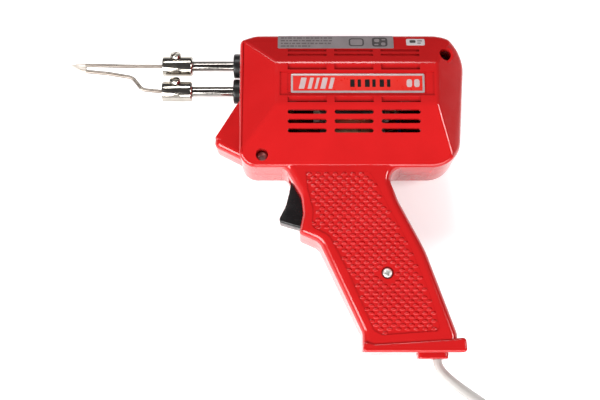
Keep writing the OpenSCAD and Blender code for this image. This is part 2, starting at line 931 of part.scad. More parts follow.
module switch_plunger() {
    color("ivory") gun_place() translate([trigger_back + press_gap + nib_r, press_y, 0])
        rotate([0, 90, 0]) {
            sphere(r = nib_r);
            cylinder(d = plunger_d, h = switch_x0 + 6 - trigger_back - nib_r);
            cylinder(d = 2 * nib_r + 3, h = 1);
        }
}

module trigger_spring() {
    x0 = trigger_back + press_gap + nib_r + 1 + spring_wire / 2;
    x1 = switch_x0 - spring_wire / 2;
    r = plunger_d / 2 + spring_wire / 2 + 0.5;
    steps = 10 * spring_turns;
    path = [for (i = [0:steps])
        [x0 + (x1 - x0) * i / steps, press_y + r * cos(36 * i), r * sin(36 * i)]];
    color(nickel) gun_place()
        tube([for (i = [0:steps])
            let (d = heading(path, i), side = unit(cross(d, [1, 0, 0])),
                 up = cross(side, d))
            [for (k = [0:5]) path[i] + spring_wire / 2 * (side * cos(60 * k)
                + up * sin(60 * k))]]);
}

module switch_terminals() {
    color("gold") gun_place()
        for (y = [switch_low + 3, switch_low + switch_h - 4])
            translate([switch_x0 + switch_len, y, -2.4]) cube([6, 0.8, 4.8]);
}

// ---------------------------------------------------------------- inside wires

wire_od = 2.2;
term_x = switch_x0 + switch_len + 5;
low_term = [term_x, switch_low + 3.4, 0];
high_term = [term_x, switch_low + switch_h - 3.6, 0];
lead_end = [lead_x, -grip_drop + 24, 0];

module live_wire() {
    color("saddlebrown") gun_place()
        wire([lead_end + [-1.2, 0, 0], [98, -62, 0], low_term + [1, -6, 0], low_term],
            wire_od);
}

module neutral_wire() {
    color("steelblue") gun_place()
        wire([lead_end + [1.2, 0, 0], [101, -52, 3.4], [92, -30, 4], [80, 2, 4],
            [core_x0 + stack + 10, 14, 5], [core_x0 + stack + 8, 34, 5]], wire_od);
}

module switched_wire() {
    color("saddlebrown") gun_place()
        wire([high_term, high_term + [-3, 9, -3], [76, 4, -4],
            [core_x0 + stack + 9, 14, -6], [core_x0 + stack + 8, 34, -5]], wire_od);
}

module lamp_wires() {
    color("peru") gun_place()
        for (s = [-1, 1])
            wire([[5.5, 24, 2 * s], [16, 32, 12 * s],
                [core_x0 - 6, flat_low + 3.2, 22 * s],
                [core_x0 + stack + 4, flat_low + 3.2, 22 * s],
                [core_x0 + stack + 9, 36, 9 * s]], 1.4);
}

module wire_joints() {
    color([0.9, 0.85, 0.7]) gun_place() {
        for (s = [-1, 1])
            translate([core_x0 + stack + 8, 35.5, 6.2 * s]) rotate([-90, 0, 0])
                cylinder(d = 5, h = 7);
    }
}

// ---------------------------------------------------------------- lead

module cord_clamp() {
    color(black) gun_place()
        translate([lead_x - clamp_reach, clamp_y, clamp_z])
        cube([2 * clamp_reach, clamp_w, 2.4]);
}

module cord_clamp_screws() {
    color(nickel) gun_place()
        for (s = [-1, 1])
            translate([lead_x + s * post_x, clamp_y + clamp_w / 2, 0]) {
                translate([0, 0, clamp_z + 2.4]) cylinder(d = 4, h = 1.6);
                translate([0, 0, clamp_z - 7]) cylinder(d = 2, h = 9.4 + skin);
            }
}

// Posts of the right half that the clamp is screwed to, in that half's own direction
module clamp_posts() {
    for (s = [-1, 1])
        translate([lead_x + s * post_x, clamp_y + clamp_w / 2, -clamp_z + 0.1])
            cylinder(d = 3.6, h = base_half + clamp_z - wall / 2);
}

module cord_gland() {
    color(red) gun_place() difference() {
        plate_xz([[gland_x0, -gland_half, 2.5], [gland_x0 + gland_len, -gland_half, 2.5],
            [gland_x0 + gland_len, gland_half, 2.5], [gland_x0, gland_half, 2.5]],
            -grip_drop - gland_h, -grip_drop);
        translate([lead_x, -grip_drop - far, 0]) rotate([-90, 0, 0])
            cylinder(d = lead_w + 2 * lead_clear, h = 2 * far);
    }
}

// The lead inside the grip and outside it, up to the coil
module power_cord() {
    color([0.75, 0.73, 0.7]) {
        flat_lead(lead_route, 10);
        gun_place() translate([lead_x, -grip_drop - gland_h, 0]) rotate([-90, 0, 0])
            cylinder(d = lead_t, h = gland_h + 24);
    }
}

module cord_tail() {
    color([0.75, 0.73, 0.7]) flat_lead(tail_route, 0.01);
}

module cord_coil() {
    color([0.75, 0.73, 0.7]) translate([ring_at[0], ring_at[1], coil_lift])
        rotate_extrude()
        translate([ring_mid - ring_w / 2, 0])
        square([ring_w, ring_h]);
}

module coil_tie() {
    color(black) translate([ring_at[0] - ring_mid, ring_at[1], 0])
        difference() {
            translate([-ring_w / 2 - tie_t - 0.6, -tie_w / 2, 0])
                cube([ring_w + 2 * tie_t + 1.2, tie_w, ring_h + coil_lift + tie_t]);
            translate([-ring_w / 2 - 0.6, -tie_w, coil_lift])
                cube([ring_w + 1.2, 2 * tie_w, ring_h]);
        }
}

module plug_body() {
    color([0.75, 0.73, 0.7]) translate([plug_at[0], plug_at[1], 0]) {
        plate_xy([[0, -plug_w / 2, 4], [plug_len - 10, -plug_w / 2, 8],
            [plug_len, -7, 5], [plug_len, 7, 5], [plug_len - 10, plug_w / 2, 8],
            [0, plug_w / 2, 4]], plug_h);
        translate([plug_len - skin, 0, plug_h / 2]) rotate([0, 90, 0])
            cylinder(d1 = 12.4, d2 = 9, h = 14);
    }
}

module plug_pins() {
    color("gold") translate([plug_at[0], plug_at[1], plug_h / 2])
        for (s = [-1, 1])
            translate([-plug_pin_len, s * plug_pin_gap / 2, 0]) rotate([0, 90, 0]) {
                cylinder(d = plug_pin_d, h = plug_pin_len);
            }
}

housing_left();
housing_right();
housing_screws();
nameplate();
rating_label();
date_label();
lamp_lens();
lamp_bulb();
lamp_holder();
core_laminations();
core_frame();
coil_bobbin();
primary_winding();
winding_tape();
secondary_loop();
output_bars();
bushing_upper();
bushing_lower();
tip_socket_upper();
tip_socket_lower();
tip_screw_upper();
tip_screw_lower();
soldering_tip();
trigger();
trigger_pin();
trigger_spring();
switch_housing();
switch_plunger();
switch_terminals();
live_wire();
neutral_wire();
switched_wire();
lamp_wires();
wire_joints();
cord_clamp();
cord_clamp_screws();
cord_gland();
power_cord();
cord_coil();
cord_tail();
coil_tie();
plug_body();
plug_pins();
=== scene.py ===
import json
import math

import bmesh
import bpy
from mathutils import Matrix, Vector


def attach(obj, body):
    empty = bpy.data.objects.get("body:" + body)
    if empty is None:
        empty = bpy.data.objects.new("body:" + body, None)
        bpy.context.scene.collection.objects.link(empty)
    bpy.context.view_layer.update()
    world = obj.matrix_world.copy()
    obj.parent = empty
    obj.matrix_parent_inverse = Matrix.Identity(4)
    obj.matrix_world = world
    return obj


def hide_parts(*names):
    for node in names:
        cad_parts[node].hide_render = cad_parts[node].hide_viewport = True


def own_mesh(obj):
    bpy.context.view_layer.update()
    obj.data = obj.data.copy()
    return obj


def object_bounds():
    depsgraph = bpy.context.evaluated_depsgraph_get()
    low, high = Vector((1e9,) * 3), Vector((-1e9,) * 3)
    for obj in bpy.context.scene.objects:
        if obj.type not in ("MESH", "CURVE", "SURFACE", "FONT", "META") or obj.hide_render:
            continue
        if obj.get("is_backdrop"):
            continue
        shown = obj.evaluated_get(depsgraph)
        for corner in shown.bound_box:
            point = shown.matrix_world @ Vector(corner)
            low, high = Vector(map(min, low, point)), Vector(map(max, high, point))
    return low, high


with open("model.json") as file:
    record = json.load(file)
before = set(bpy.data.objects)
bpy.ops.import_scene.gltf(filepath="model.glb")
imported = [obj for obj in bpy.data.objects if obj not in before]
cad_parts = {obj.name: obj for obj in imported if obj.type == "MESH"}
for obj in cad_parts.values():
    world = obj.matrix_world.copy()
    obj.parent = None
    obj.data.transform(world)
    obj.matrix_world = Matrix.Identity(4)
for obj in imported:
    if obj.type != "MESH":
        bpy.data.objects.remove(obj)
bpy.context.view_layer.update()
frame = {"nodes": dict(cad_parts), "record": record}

# ------------------------------------------------------------ camera, table and light
# The gun lies on its right side on a white table and is seen almost square from
# above. Four soft boxes stand around it, from a third to just over half way up the
# sky, and nothing hangs overhead.
scene = bpy.context.scene
scene.view_settings.view_transform = "Standard"
scene.view_settings.look = "None"
bpy.ops.object.select_all(action="DESELECT")
bpy.ops.object.camera_add(location=(0.0216, -0.1293, 0.6672), rotation=(math.radians(11.4), 0, 0))
camera = bpy.context.object
camera.name = "camera"
camera.data.lens = 65
camera.data.sensor_width = 36
camera.data.clip_start = 0.01
scene.camera = camera


def node(tree, kind, feeds, operation=None, **values):
    """A shader node. Feeds map an input to what feeds it; values set the other inputs."""
    n = tree.nodes.new("ShaderNode" + kind)
    if operation:
        n.operation = operation
    for key, value in values.items():
        n.inputs[key.replace("_", " ")].default_value = value
    for key, source in feeds.items():
        tree.links.new(source, n.inputs[key])
    return n


def ramp(tree, source, first, last):
    """A colour ramp between two ends, each a position and a colour."""
    n = node(tree, "ValToRGB", {"Fac": source})
    for end, (position, colour) in zip(n.color_ramp.elements, (first, last)):
        end.position = position
        end.color = (*colour, 1)
    return n.outputs[0]


bpy.ops.mesh.primitive_plane_add(size=6, location=(0, 0, -0.0002))
table = bpy.context.object
table.name = "table"
# The table glows near the gun, and its glow and colour fade to grey farther out. This is a painted pool of
# light that fills the gun's cast shadows and keeps far reflections dark.
table_painted_glow = bpy.data.materials.new("table_painted_glow")
table_painted_glow.use_nodes = True
cloth = table_painted_glow.node_tree
top = cloth.nodes["Principled BSDF"]
top.inputs["Roughness"].default_value = 0.9
top.inputs["Specular IOR Level"].default_value = 0.1
top.inputs["Emission Strength"].default_value = 0.34
away = node(cloth, "VectorMath", {0: node(cloth, "TexCoord", {}).outputs["Object"]}, "LENGTH")
for socket, near, near_grey, far, far_grey in (("Base Color", 0.45, 0.93, 0.95, 0.4),
                                               ("Emission Color", 0.35, 1.0, 0.8, 0.0)):
    shade = ramp(cloth, away.outputs["Value"], (near, [near_grey] * 3), (far, [far_grey] * 3))
    cloth.links.new(shade, top.inputs[socket])
table.data.materials.append(table_painted_glow)
table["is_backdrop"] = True

scene.world = bpy.data.worlds.new("studio")
scene.world.use_nodes = True
tree = scene.world.node_tree
near_side = node(tree, "VectorMath", {0: node(tree, "TexCoord", {}).outputs["Generated"]}, "DOT_PRODUCT")
near_side.inputs[1].default_value = (-0.42, -0.86, -0.28)
backdrop = node(tree, "Mix", {})
backdrop.data_type = "RGBA"
backdrop.inputs["B"].default_value = (0.8, 0.8, 0.8, 1)
tree.links.new(node(tree, "LightPath", {}).outputs["Is Camera Ray"], backdrop.inputs["Factor"])
tree.links.new(ramp(tree, near_side.outputs["Value"], (0.38, (0.1, 0.1, 0.105)), (0.7, (0.95, 0.95, 0.96))),
               backdrop.inputs["A"])
tree.links.new(backdrop.outputs["Result"], tree.nodes["Background"].inputs["Color"])
tree.nodes["Background"].inputs["Strength"].default_value = 1.0


def soft_box(name, place, target, wide, high, watts):
    bpy.ops.object.light_add(type="AREA", location=place)
    lamp = bpy.context.object
    lamp.name = name
    lamp.data.shape = "RECTANGLE"
    lamp.data.size = wide
    lamp.data.size_y = high
    lamp.data.energy = watts
    aim = Vector(target) - Vector(place)
    lamp.rotation_euler = aim.to_track_quat("-Z", "Y").to_euler()


soft_box("box_near_left", (-0.75, -0.85, 0.85), (0, 0, 0.02), 0.9, 0.7, 26)
soft_box("box_near", (0.35, -1.1, 0.6), (0, 0, 0.02), 1.0, 0.4, 10)
soft_box("box_far", (-0.2, 0.85, 1.1), (0, 0, 0.02), 0.9, 0.25, 9)
soft_box("box_right", (1.05, -0.02, 0.9), (0, 0, 0.02), 0.4, 0.26, 7)

# ------------------------------------------------------------------- housing halves
# Two shells of glossy red plastic, moulded as mirror images and screwed together on
# the middle plane. Slopes fall away on all four sides of the flat; the grip is part
# of the same moulding, and so are the lamp nose and the flared base.
MM = 0.001
GUN = Vector((-14.2, 15.05, 30.0))  # the housing's front foot on the parting plane
BODY_H, HALF_W, WALL = 80.5, 30.0, 2.6
FLAT_LOW, FLAT_TOP = 35.2, 60.8
FLAT_FRONT, FLAT_END = 22.0, 116.3
GRIP_DROP = 107.4
GRIP_FALL = 5 / 115.4
FRONT_FALL, END_FALL, LOW_FALL, TOP_FALL = (8, 22), (16, 17.7), (10, 35.2), (9, 19.7)  # fall, width
BAR_UP, BAR_DOWN = 68.0, 51.8  # the heights of the two bars
LEAD_X, LEAD_HOLE = 115.75, 8.0  # where the lead leaves the grip


def gun(x, y, z):
    """A place on the gun, in millimetres from its foot, in the shared frame."""
    return (GUN + Vector((x, y, z))) * MM


TO_ORIGIN = Matrix.Translation(-gun(0, 0, 0))


def only(o):
    bpy.ops.object.select_all(action="DESELECT")
    o.select_set(True)
    bpy.context.view_layer.objects.active = o


def edit_all():
    """Edit mode on the active piece, with all of it selected."""
    bpy.ops.object.mode_set(mode="EDIT")
    bpy.ops.mesh.select_all(action="SELECT")


def close_up(merge=0.0):
    """Merges points that coincide, turns the faces outward and leaves edit mode."""
    bpy.ops.mesh.select_all(action="SELECT")
    if merge:
        bpy.ops.mesh.remove_doubles(threshold=merge)
    bpy.ops.mesh.normals_make_consistent(inside=False)
    bpy.ops.object.mode_set(mode="OBJECT")


def oblong(x0, y0, x1, y1, r):
    """The outline of a rectangle with its corners rounded."""
    return [[x0, y0, r], [x1, y0, r], [x1, y1, r], [x0, y1, r]]


def rounded(corners, step=7.0):
    """Points of an outline [x, y, radius] with its corners rounded."""
    points = []
    for i, (x, y, r) in enumerate(corners):
        a, b, c = Vector(corners[i - 1][:2]), Vector((x, y)), Vector(corners[(i + 1) % len(corners)][:2])
        if r == 0:
            points.append(b)
            continue
        u, v = (a - b).normalized(), (c - b).normalized()
        half = u.angle(v) / 2
        mid = b + (u + v).normalized() * (r / math.sin(half))
        start, end = b + u * (r / math.tan(half)), b + v * (r / math.tan(half))
        a0 = math.atan2(start.y - mid.y, start.x - mid.x)
        turn = math.atan2(end.y - mid.y, end.x - mid.x) - a0
        turn = (turn + math.pi) % (2 * math.pi) - math.pi
        k = max(1, math.ceil(math.degrees(abs(turn)) / step - 0.001))
        for j in range(k + 1):
            t = a0 + turn * j / k
            points.append(mid + Vector((math.cos(t), math.sin(t))) * r)
    return points


def drawn_in(corners, d):
    """The same outline, d further in, with radii to suit."""
    out = []
    for i, (x, y, r) in enumerate(corners):
        a, b, c = Vector(corners[i - 1][:2]), Vector((x, y)), Vector(corners[(i + 1) % len(corners)][:2])
        u, v = (b - a).normalized(), (c - b).normalized()
        m, n = Vector((-u.y, u.x)), Vector((-v.y, v.x))
        q = b + (m + n) * d / (1 + m.dot(n))
        bulges = u.x * v.y - u.y * v.x > 0
        out.append([q.x, q.y, 0 if r == 0 else max(r - d, 0.001) if bulges else r + d])
    return out


def stack(name, corners, rings, step=7.0):
    """A closed solid through rings of one outline: [how far in, height or height(x, y)]."""

    def place(p, height):
        return gun(p[0], p[1], height(p[0], p[1]) if callable(height) else height)

    under = rounded(drawn_in(corners, rings[0][0]), step)
    bpy.ops.object.select_all(action="DESELECT")
    bpy.ops.mesh.primitive_circle_add(vertices=len(under), radius=0.1, fill_type="NGON")
    o = bpy.context.object
    o.name = o.data.name = name
    for v, p in zip(o.data.vertices, under):
        v.co = place(p, rings[0][1])
    edit_all()
    for inset, height in rings[1:]:
        ring = rounded(drawn_in(corners, inset), step)
        bpy.ops.mesh.extrude_region_move(TRANSFORM_OT_translate={"value": (0, 0, 0.0001)})
        bm = bmesh.from_edit_mesh(o.data)
        for v in [v for v in bm.verts if v.select]:
            x, y = v.co.x / MM - GUN.x, v.co.y / MM - GUN.y
            i = min(range(len(under)), key=lambda j: (under[j][0] - x) ** 2 + (under[j][1] - y) ** 2)
            v.co = place(ring[i], height)
        bmesh.update_edit_mesh(o.data)
        under = ring
    close_up(3e-6)
    return o


def slice_off(o, point, normal):
    """Cuts away what lies beyond a plane and closes the cut."""
    only(o)
    edit_all()
    bpy.ops.mesh.bisect(plane_co=point, plane_no=normal, use_fill=True, clear_outer=True)
    bpy.ops.object.mode_set(mode="OBJECT")


def round_off(o, test, size, steps):
    """Bevels the edges that pass the test."""
    only(o)
    bpy.ops.object.mode_set(mode="EDIT")
    bpy.ops.mesh.select_mode(type="EDGE")
    bpy.ops.mesh.select_all(action="DESELECT")
    bm = bmesh.from_edit_mesh(o.data)
    bm.normal_update()
    for e in bm.edges:
        if test(e):
            e.select_set(True)
    bm.select_flush_mode()
    bmesh.update_edit_mesh(o.data)
    bpy.ops.mesh.bevel(offset=size * MM, segments=steps, profile=0.5, affect="EDGES")
    bpy.ops.object.mode_set(mode="OBJECT")


def change(o, kind, **settings):
    only(o)
    m = o.modifiers.new(kind.lower(), kind)
    for key, value in settings.items():
        setattr(m, key, value)
    bpy.ops.object.modifier_apply(modifier=m.name)


def carve(o, tool, how="DIFFERENCE"):
    change(o, "BOOLEAN", object=tool, operation=how, solver="EXACT")
    bpy.data.objects.remove(tool)


def wall_side(e):
    """True on the rim: an edge between an upright wall and the face above it."""
    if len(e.link_faces) != 2:
        return False
    up = sorted(f.normal.z for f in e.link_faces)
    return abs(up[0]) < 0.05 and up[1] > 0.5


def along_y(e):
    return abs((e.verts[0].co - e.verts[1].co).normalized().y) > 0.9


def side_z(x, y):
    """The height of the housing's outside over a point, with its four slopes."""
    return min(HALF_W, HALF_W - FRONT_FALL[0] / FRONT_FALL[1] * (FLAT_FRONT - x),
               HALF_W - END_FALL[0] / END_FALL[1] * (x - FLAT_END),
               HALF_W - LOW_FALL[0] / LOW_FALL[1] * (FLAT_LOW - y),
               HALF_W - TOP_FALL[0] / TOP_FALL[1] * (y - FLAT_TOP))


HOUSING = [[0, 0, 10], [129.5, 0, 17], [135.4, BODY_H, 19.5], [9, BODY_H, 14], [0, 76.8, 4]]
GRIP = [[18, 12, 0], [18, 0.05, 0], [27, 0.05, 5], [36.6, -17, 10], [37.6, -27, 6],
        [35.2, -38.8, 2.2], [47, -44, 8], [71.6, -96.4, 6], [71.6, -116, 0], [126.2, -116, 0],
        [126.2, -96.8, 6], [108.6, -48.5, 60], [93.6, -20, 30], [85.6, 0.05, 7], [97, 0.05, 0],
        [97, 12, 0]]
NOSE = [[8, 3.2, 0], [8, 45.5, 0], [1, 45.5, 0], [-14.8, 19.6, 3], [-15.3, 14.8, 4]]
BASE = [[71.4, -107.4, 2.0], [131.6, -107.4, 2.2], [130.8, -98.8, 2.2], [123.4, -99.6, 3],
        [78.4, -102.4, 3], [72.4, -100.8, 2.0]]
JOINT = 0.2  # how far the edges at the joint between the halves are drawn in


def body_block(inset, foot):
    """The housing's block: its outline, raised and cut to the four slopes."""
    o = stack("housing", HOUSING, [[inset + JOINT, foot], [inset + JOINT, 0], [inset, JOINT],
                                   [inset, HALF_W - inset]], 6)
    for x, y, normal in [(FLAT_FRONT, 0, (-FRONT_FALL[0], 0, FRONT_FALL[1])),
                         (FLAT_END, 0, (END_FALL[0], 0, END_FALL[1])),
                         (0, FLAT_LOW, (0, -LOW_FALL[0], LOW_FALL[1])),
                         (0, FLAT_TOP, (0, TOP_FALL[0], TOP_FALL[1]))]:
        normal = Vector(normal).normalized()
        slice_off(o, gun(x, y, HALF_W) - normal * inset * MM, normal)
    return o


def grip_block(inset, rim, foot):
    """The grip's block, with a wide soft rim all round."""
    def face(x, y):
        return 20 - inset + GRIP_FALL * y

    rings = [[inset + JOINT, foot], [inset + JOINT, 0], [inset, JOINT]]
    for k in range(8):
        t = math.pi / 2 * k / 7
        rings.append([inset + rim * (1 - math.cos(t)),
                      lambda x, y, t=t: face(x, y) - rim * (1 - math.sin(t))])
    o = stack("grip", GRIP, rings, 7)
    slice_off(o, gun(0, 0.3 - GRIP_DROP + inset, 0), (0, -1, 0))
    return o


def nose_block(inset, foot):
    return stack("nose", NOSE, [[inset + JOINT, foot], [inset + JOINT, 0], [inset, JOINT],
                                [inset, 12 - inset]], 10)


red_shell = body_block(0, -2)
red_shell.data.attributes.new("bevel_weight_edge", "FLOAT", "EDGE")
bm = bmesh.new()
bm.from_mesh(red_shell.data)
weights = [1.0 if wall_side(e) else 0.65 if min(f.normal.z for f in e.link_faces) > 0.5
           and e.calc_face_angle(0) > 0.1 else 0 for e in bm.edges]
bm.free()
red_shell.data.attributes["bevel_weight_edge"].data.foreach_set("value", weights)
change(red_shell, "BEVEL", limit_method="WEIGHT", width=2.0 * MM, segments=5, use_clamp_overlap=False)
carve(red_shell, grip_block(0, 4.6, -2.3), "UNION")
nose = nose_block(0, -2.6)
round_off(nose, lambda e: wall_side(e) and max(v.co.y for v in e.verts) < gun(0, 19.7, 0).y
          and min(v.co.x for v in e.verts) < gun(7.9, 0, 0).x, 4.0, 7)
round_off(nose, lambda e: wall_side(e) and min(v.co.y for v in e.verts) > gun(0, 15, 0).y
          and max(v.co.x for v in e.verts) < gun(1.1, 0, 0).x and e.calc_length() > 0.004, 1.0, 4)
carve(red_shell, nose, "UNION")
base = stack("base", BASE, [[JOINT, -2.9], [JOINT, 0], [0, JOINT], [0, 16.4]], 15)
round_off(base, wall_side, 1.6, 5)
carve(red_shell, base, "UNION")

# the hollow inside, one wall's thickness in
carve(red_shell, body_block(WALL, -4))
carve(red_shell, grip_block(WALL, 2.0, -4.3))
carve(red_shell, nose_block(WALL, -4.6))

# the fold where the lower slope runs into the grip
round_off(red_shell, lambda e: len(e.link_faces) == 2
          and all(abs(v.co.y - gun(0, 0, 0).y) < 0.0006 and v.co.z > gun(0, 0, 19).z
                  and gun(33, 0, 0).x < v.co.x < gun(84, 0, 0).x for v in e.verts), 3.0, 5)


def box(name, low, high):
    bpy.ops.object.select_all(action="DESELECT")
    low, high = gun(*low), gun(*high)
    bpy.ops.mesh.primitive_cube_add(size=1, location=(low + high) / 2, scale=high - low)
    bpy.ops.object.transform_apply(location=True, rotation=True, scale=True)
    bpy.context.object.name = name
    return bpy.context.object


def drum(name, place, d, h, turn=(0, 0, 0), sides=32):
    """A cylinder of diameter d whose foot is at place, with its axis turned from +Z."""
    bpy.ops.object.select_all(action="DESELECT")
    bpy.ops.mesh.primitive_cylinder_add(vertices=sides, radius=d / 2 * MM, depth=h * MM)
    o = bpy.context.object
    o.name = name
    way = Matrix.Translation(gun(*place)) @ Matrix.Rotation(turn[2], 4, "Z") @ Matrix.Rotation(
        turn[1], 4, "Y") @ Matrix.Rotation(turn[0], 4, "X") @ Matrix.Translation((0, 0, h / 2 * MM))
    o.data.transform(way)
    return o


def joined(pieces, name):
    bpy.ops.object.select_all(action="DESELECT")
    for p in pieces:
        p.select_set(True)
    bpy.context.view_layer.objects.active = pieces[0]
    bpy.ops.object.join()
    bpy.context.object.name = bpy.context.object.data.name = name
    return bpy.context.object


# three columns of vents: round-ended slots below the flat, louvres on it, fine slots above
SLOT_X = [28.6, 56.0, 83.4]
SLOT_LEN = 22.8
tools, gaps = [], []
for x in SLOT_X:
    for k in (1, 2, 3):
        y = FLAT_LOW + 1 - 5.25 * k
        z = side_z(x, y)
        ends = oblong(x, y - 1.3, x + SLOT_LEN, y + 1.3, 1.3)
        tools.append(stack("slot", ends, [[0, z - 5], [0, z + 2]], 18))
    for low in (FLAT_LOW + 21, FLAT_LOW + 1.1):
        louvre = box("louvre", (x, low, HALF_W - 2.3), (x + SLOT_LEN, low + 3.6, HALF_W + 1))
        for v in louvre.data.vertices:
            if v.co.z < gun(0, 0, HALF_W).z:
                above = v.co.y > gun(0, low + 1, 0).y
                v.co.z = gun(0, 0, HALF_W - (0.8 if above else 2.1)).z
        tools.append(louvre)
        gaps.append(box("gap", (x, low - 0.05, HALF_W - 6), (x + SLOT_LEN, low + 0.95, HALF_W - 1)))
    for y in (FLAT_TOP + 5.1, FLAT_TOP + 8.3):
        z = side_z(50, y)
        tools.append(box("fine_slot", (x, y - 0.9, z - 1.4), (x + SLOT_LEN, y + 0.9, z + 2)))
# the nameplate's channel and its pocket
tools.append(box("channel", (24, 40.4, HALF_W - 0.8), (114.3, 55.0, HALF_W + 3)))
carve(red_shell, joined(tools, "vents"))
carve(red_shell, joined(gaps, "gaps"))
carve(red_shell, box("pocket", (28.5, 41.9, HALF_W - 1.2), (109.7, 54.1, HALF_W - 0.5)))
# holes for the trigger, the bars, the lens and the lead
carve(red_shell, box("trigger_slot", (18, -35.7, -6), (45.8, -3.2, 7.1)))
quarter = math.pi / 2
for y in (BAR_UP, BAR_DOWN):
    carve(red_shell, drum("bar_hole", (-8, y, 0), 9.7, 24, (0, quarter, 0)))
NOSE_RUN, NOSE_RISE, LENS_DOWN = 15.8, 25.9, 0.42  # the nose's face, and the lens's share of it
LENS_TURN = math.atan2(NOSE_RUN, NOSE_RISE)
LENS_AT = (1 - LENS_DOWN * NOSE_RUN, 45.5 - LENS_DOWN * NOSE_RISE, 0)
lens_hole = drum("lens_hole", (0, 0, 0), 12.1, 24)
lens_hole.data.transform(Matrix.Translation(-gun(0, 0, 12)))
lens_hole.data.transform(Matrix.Translation(gun(*LENS_AT)) @ Matrix.Rotation(math.pi - LENS_TURN, 4, "Z")
                         @ Matrix.Rotation(quarter, 4, "Y"))
carve(red_shell, lens_hole)
carve(red_shell, drum("lead_hole", (LEAD_X, -GRIP_DROP - 4, 0), LEAD_HOLE, 10, (-quarter, 0, 0)))

# the sunk panel on the grip, with its rows of small round-edged lozenges
PANEL = [[39.0, -2.6, 1], [40.2, -13.5, 4], [43.3, -25.4, 5], [42.6, -35.4, 3], [52.6, -40.7, 6],
         [62.8, -60.3, 0], [77.8, -95.0, 2], [82.5, -97.8, 3], [116.4, -95.4, 2.5], [113.6, -84.5, 0],
         [108.7, -69.3, 0], [99.3, -46.1, 20], [86.4, -21.7, 6], [79.4, -7.1, 6], [76.0, -2.6, 4]]


def grip_face(x, y):
    return 20 + GRIP_FALL * y


carve(red_shell, stack("panel", PANEL, [[0, lambda x, y: grip_face(x, y) - 0.55], [0, 24]], 15))
# both halves end in one plane at the joint
carve(red_shell, box("below", (-30, -120, -20), (150, 100, 0)))

# bosses for the three screws that hold the halves together, in both of them
SCREWS = [(13.5, 6.9, 14.6), (121.8, 67.1, 10.6), (86.3, -62.0, 14.2)]


def face_over(x, y):
    return side_z(x, y) if y > 0 else grip_face(x, y)


for x, y, head in SCREWS:
    carve(red_shell, drum("boss", (x, y, 0.4), 10.2, face_over(x, y) - WALL / 2 - 0.4, sides=28), "UNION")


def mirrored(o, name):
    """A copy of a left piece, mirrored on the joint's plane for the right side."""
    only(o)
    bpy.ops.object.duplicate()
    copy = bpy.context.object
    copy.name = copy.data.name = name
    copy.data.transform(Matrix.Translation((0, 0, 2 * GUN.z * MM)) @ Matrix.Scale(-1, 4, (0, 0, 1)))
    only(copy)
    edit_all()
    bpy.ops.mesh.flip_normals()
    bpy.ops.object.mode_set(mode="OBJECT")
    return copy


# the right half is the left one's mirror image, before the left one is bored for the screws
right_shell = mirrored(red_shell, "housing_right_shell")
for x, y, head in SCREWS:
    carve(red_shell, drum("screw_recess", (x, y, head), 7.2, 30))
    carve(red_shell, drum("screw_hole", (x, y, -1), 3.9, 40, sides=20))
    carve(right_shell, drum("pilot_hole", (x, y, -head), 3.0, head + 1, sides=16))


def group(name, result, **inputs):
    """A shader node group that takes a place and some numbers and gives one number."""
    g = bpy.data.node_groups.new(name, "ShaderNodeTree")
    g.interface.new_socket("Place", in_out="INPUT", socket_type="NodeSocketVector")
    for label, value in inputs.items():
        s = g.interface.new_socket(label, in_out="INPUT", socket_type="NodeSocketFloat")
        s.default_value = value
    g.interface.new_socket(result, in_out="OUTPUT", socket_type="NodeSocketFloat")
    return g, g.nodes.new("NodeGroupInput"), g.nodes.new("NodeGroupOutput")


# cloudy change of shade over a surface, from 0 to 1
mottle, inp, out = group("mottle", "Value", Scale=60.0, Low=0.0, High=1.0)
cloud = node(mottle, "TexNoise", {"Vector": inp.outputs["Place"], "Scale": inp.outputs["Scale"]}, Detail=4)
spread = node(mottle, "MapRange", {"Value": cloud.outputs["Fac"], "To Min": inp.outputs["Low"],
                                   "To Max": inp.outputs["High"]}, From_Min=0.3, From_Max=0.7)
mottle.links.new(spread.outputs["Result"], out.inputs["Value"])

# fine grain of a moulded, cast or drawn surface, as a height in metres
grain, inp, out = group("grain", "Height", Scale=900.0, Depth=0.00002)
pits = node(grain, "TexNoise", {"Vector": inp.outputs["Place"], "Scale": inp.outputs["Scale"]}, Detail=3)
deep = node(grain, "Math", {0: pits.outputs["Fac"], 1: inp.outputs["Depth"]}, "MULTIPLY")
grain.links.new(deep.outputs[0], out.inputs["Height"])

# fine scratches from handling, thin lines in two directions, 1 on a scratch
scratches, inp, out = group("scratches", "Mask", Scale=90.0, Amount=0.3)
masks = []
for turn, stretch in ((0.5, 14), (-0.9, 11)):
    lay = node(scratches, "Mapping", {"Vector": inp.outputs["Place"]}, Rotation=(0.2, 0.1, turn),
               Scale=(1, stretch, 1))
    hair = node(scratches, "TexNoise", {"Vector": lay.outputs[0], "Scale": inp.outputs["Scale"]}, Detail=1)
    thin = node(scratches, "MapRange", {"Value": hair.outputs["Fac"]}, From_Min=0.68, From_Max=0.74)
    masks.append(thin.outputs[0])
both = node(scratches, "Math", {0: masks[0], 1: masks[1]}, "MAXIMUM")
less = node(scratches, "Math", {0: both.outputs[0], 1: inp.outputs["Amount"]}, "MULTIPLY")
scratches.links.new(less.outputs[0], out.inputs["Mask"])


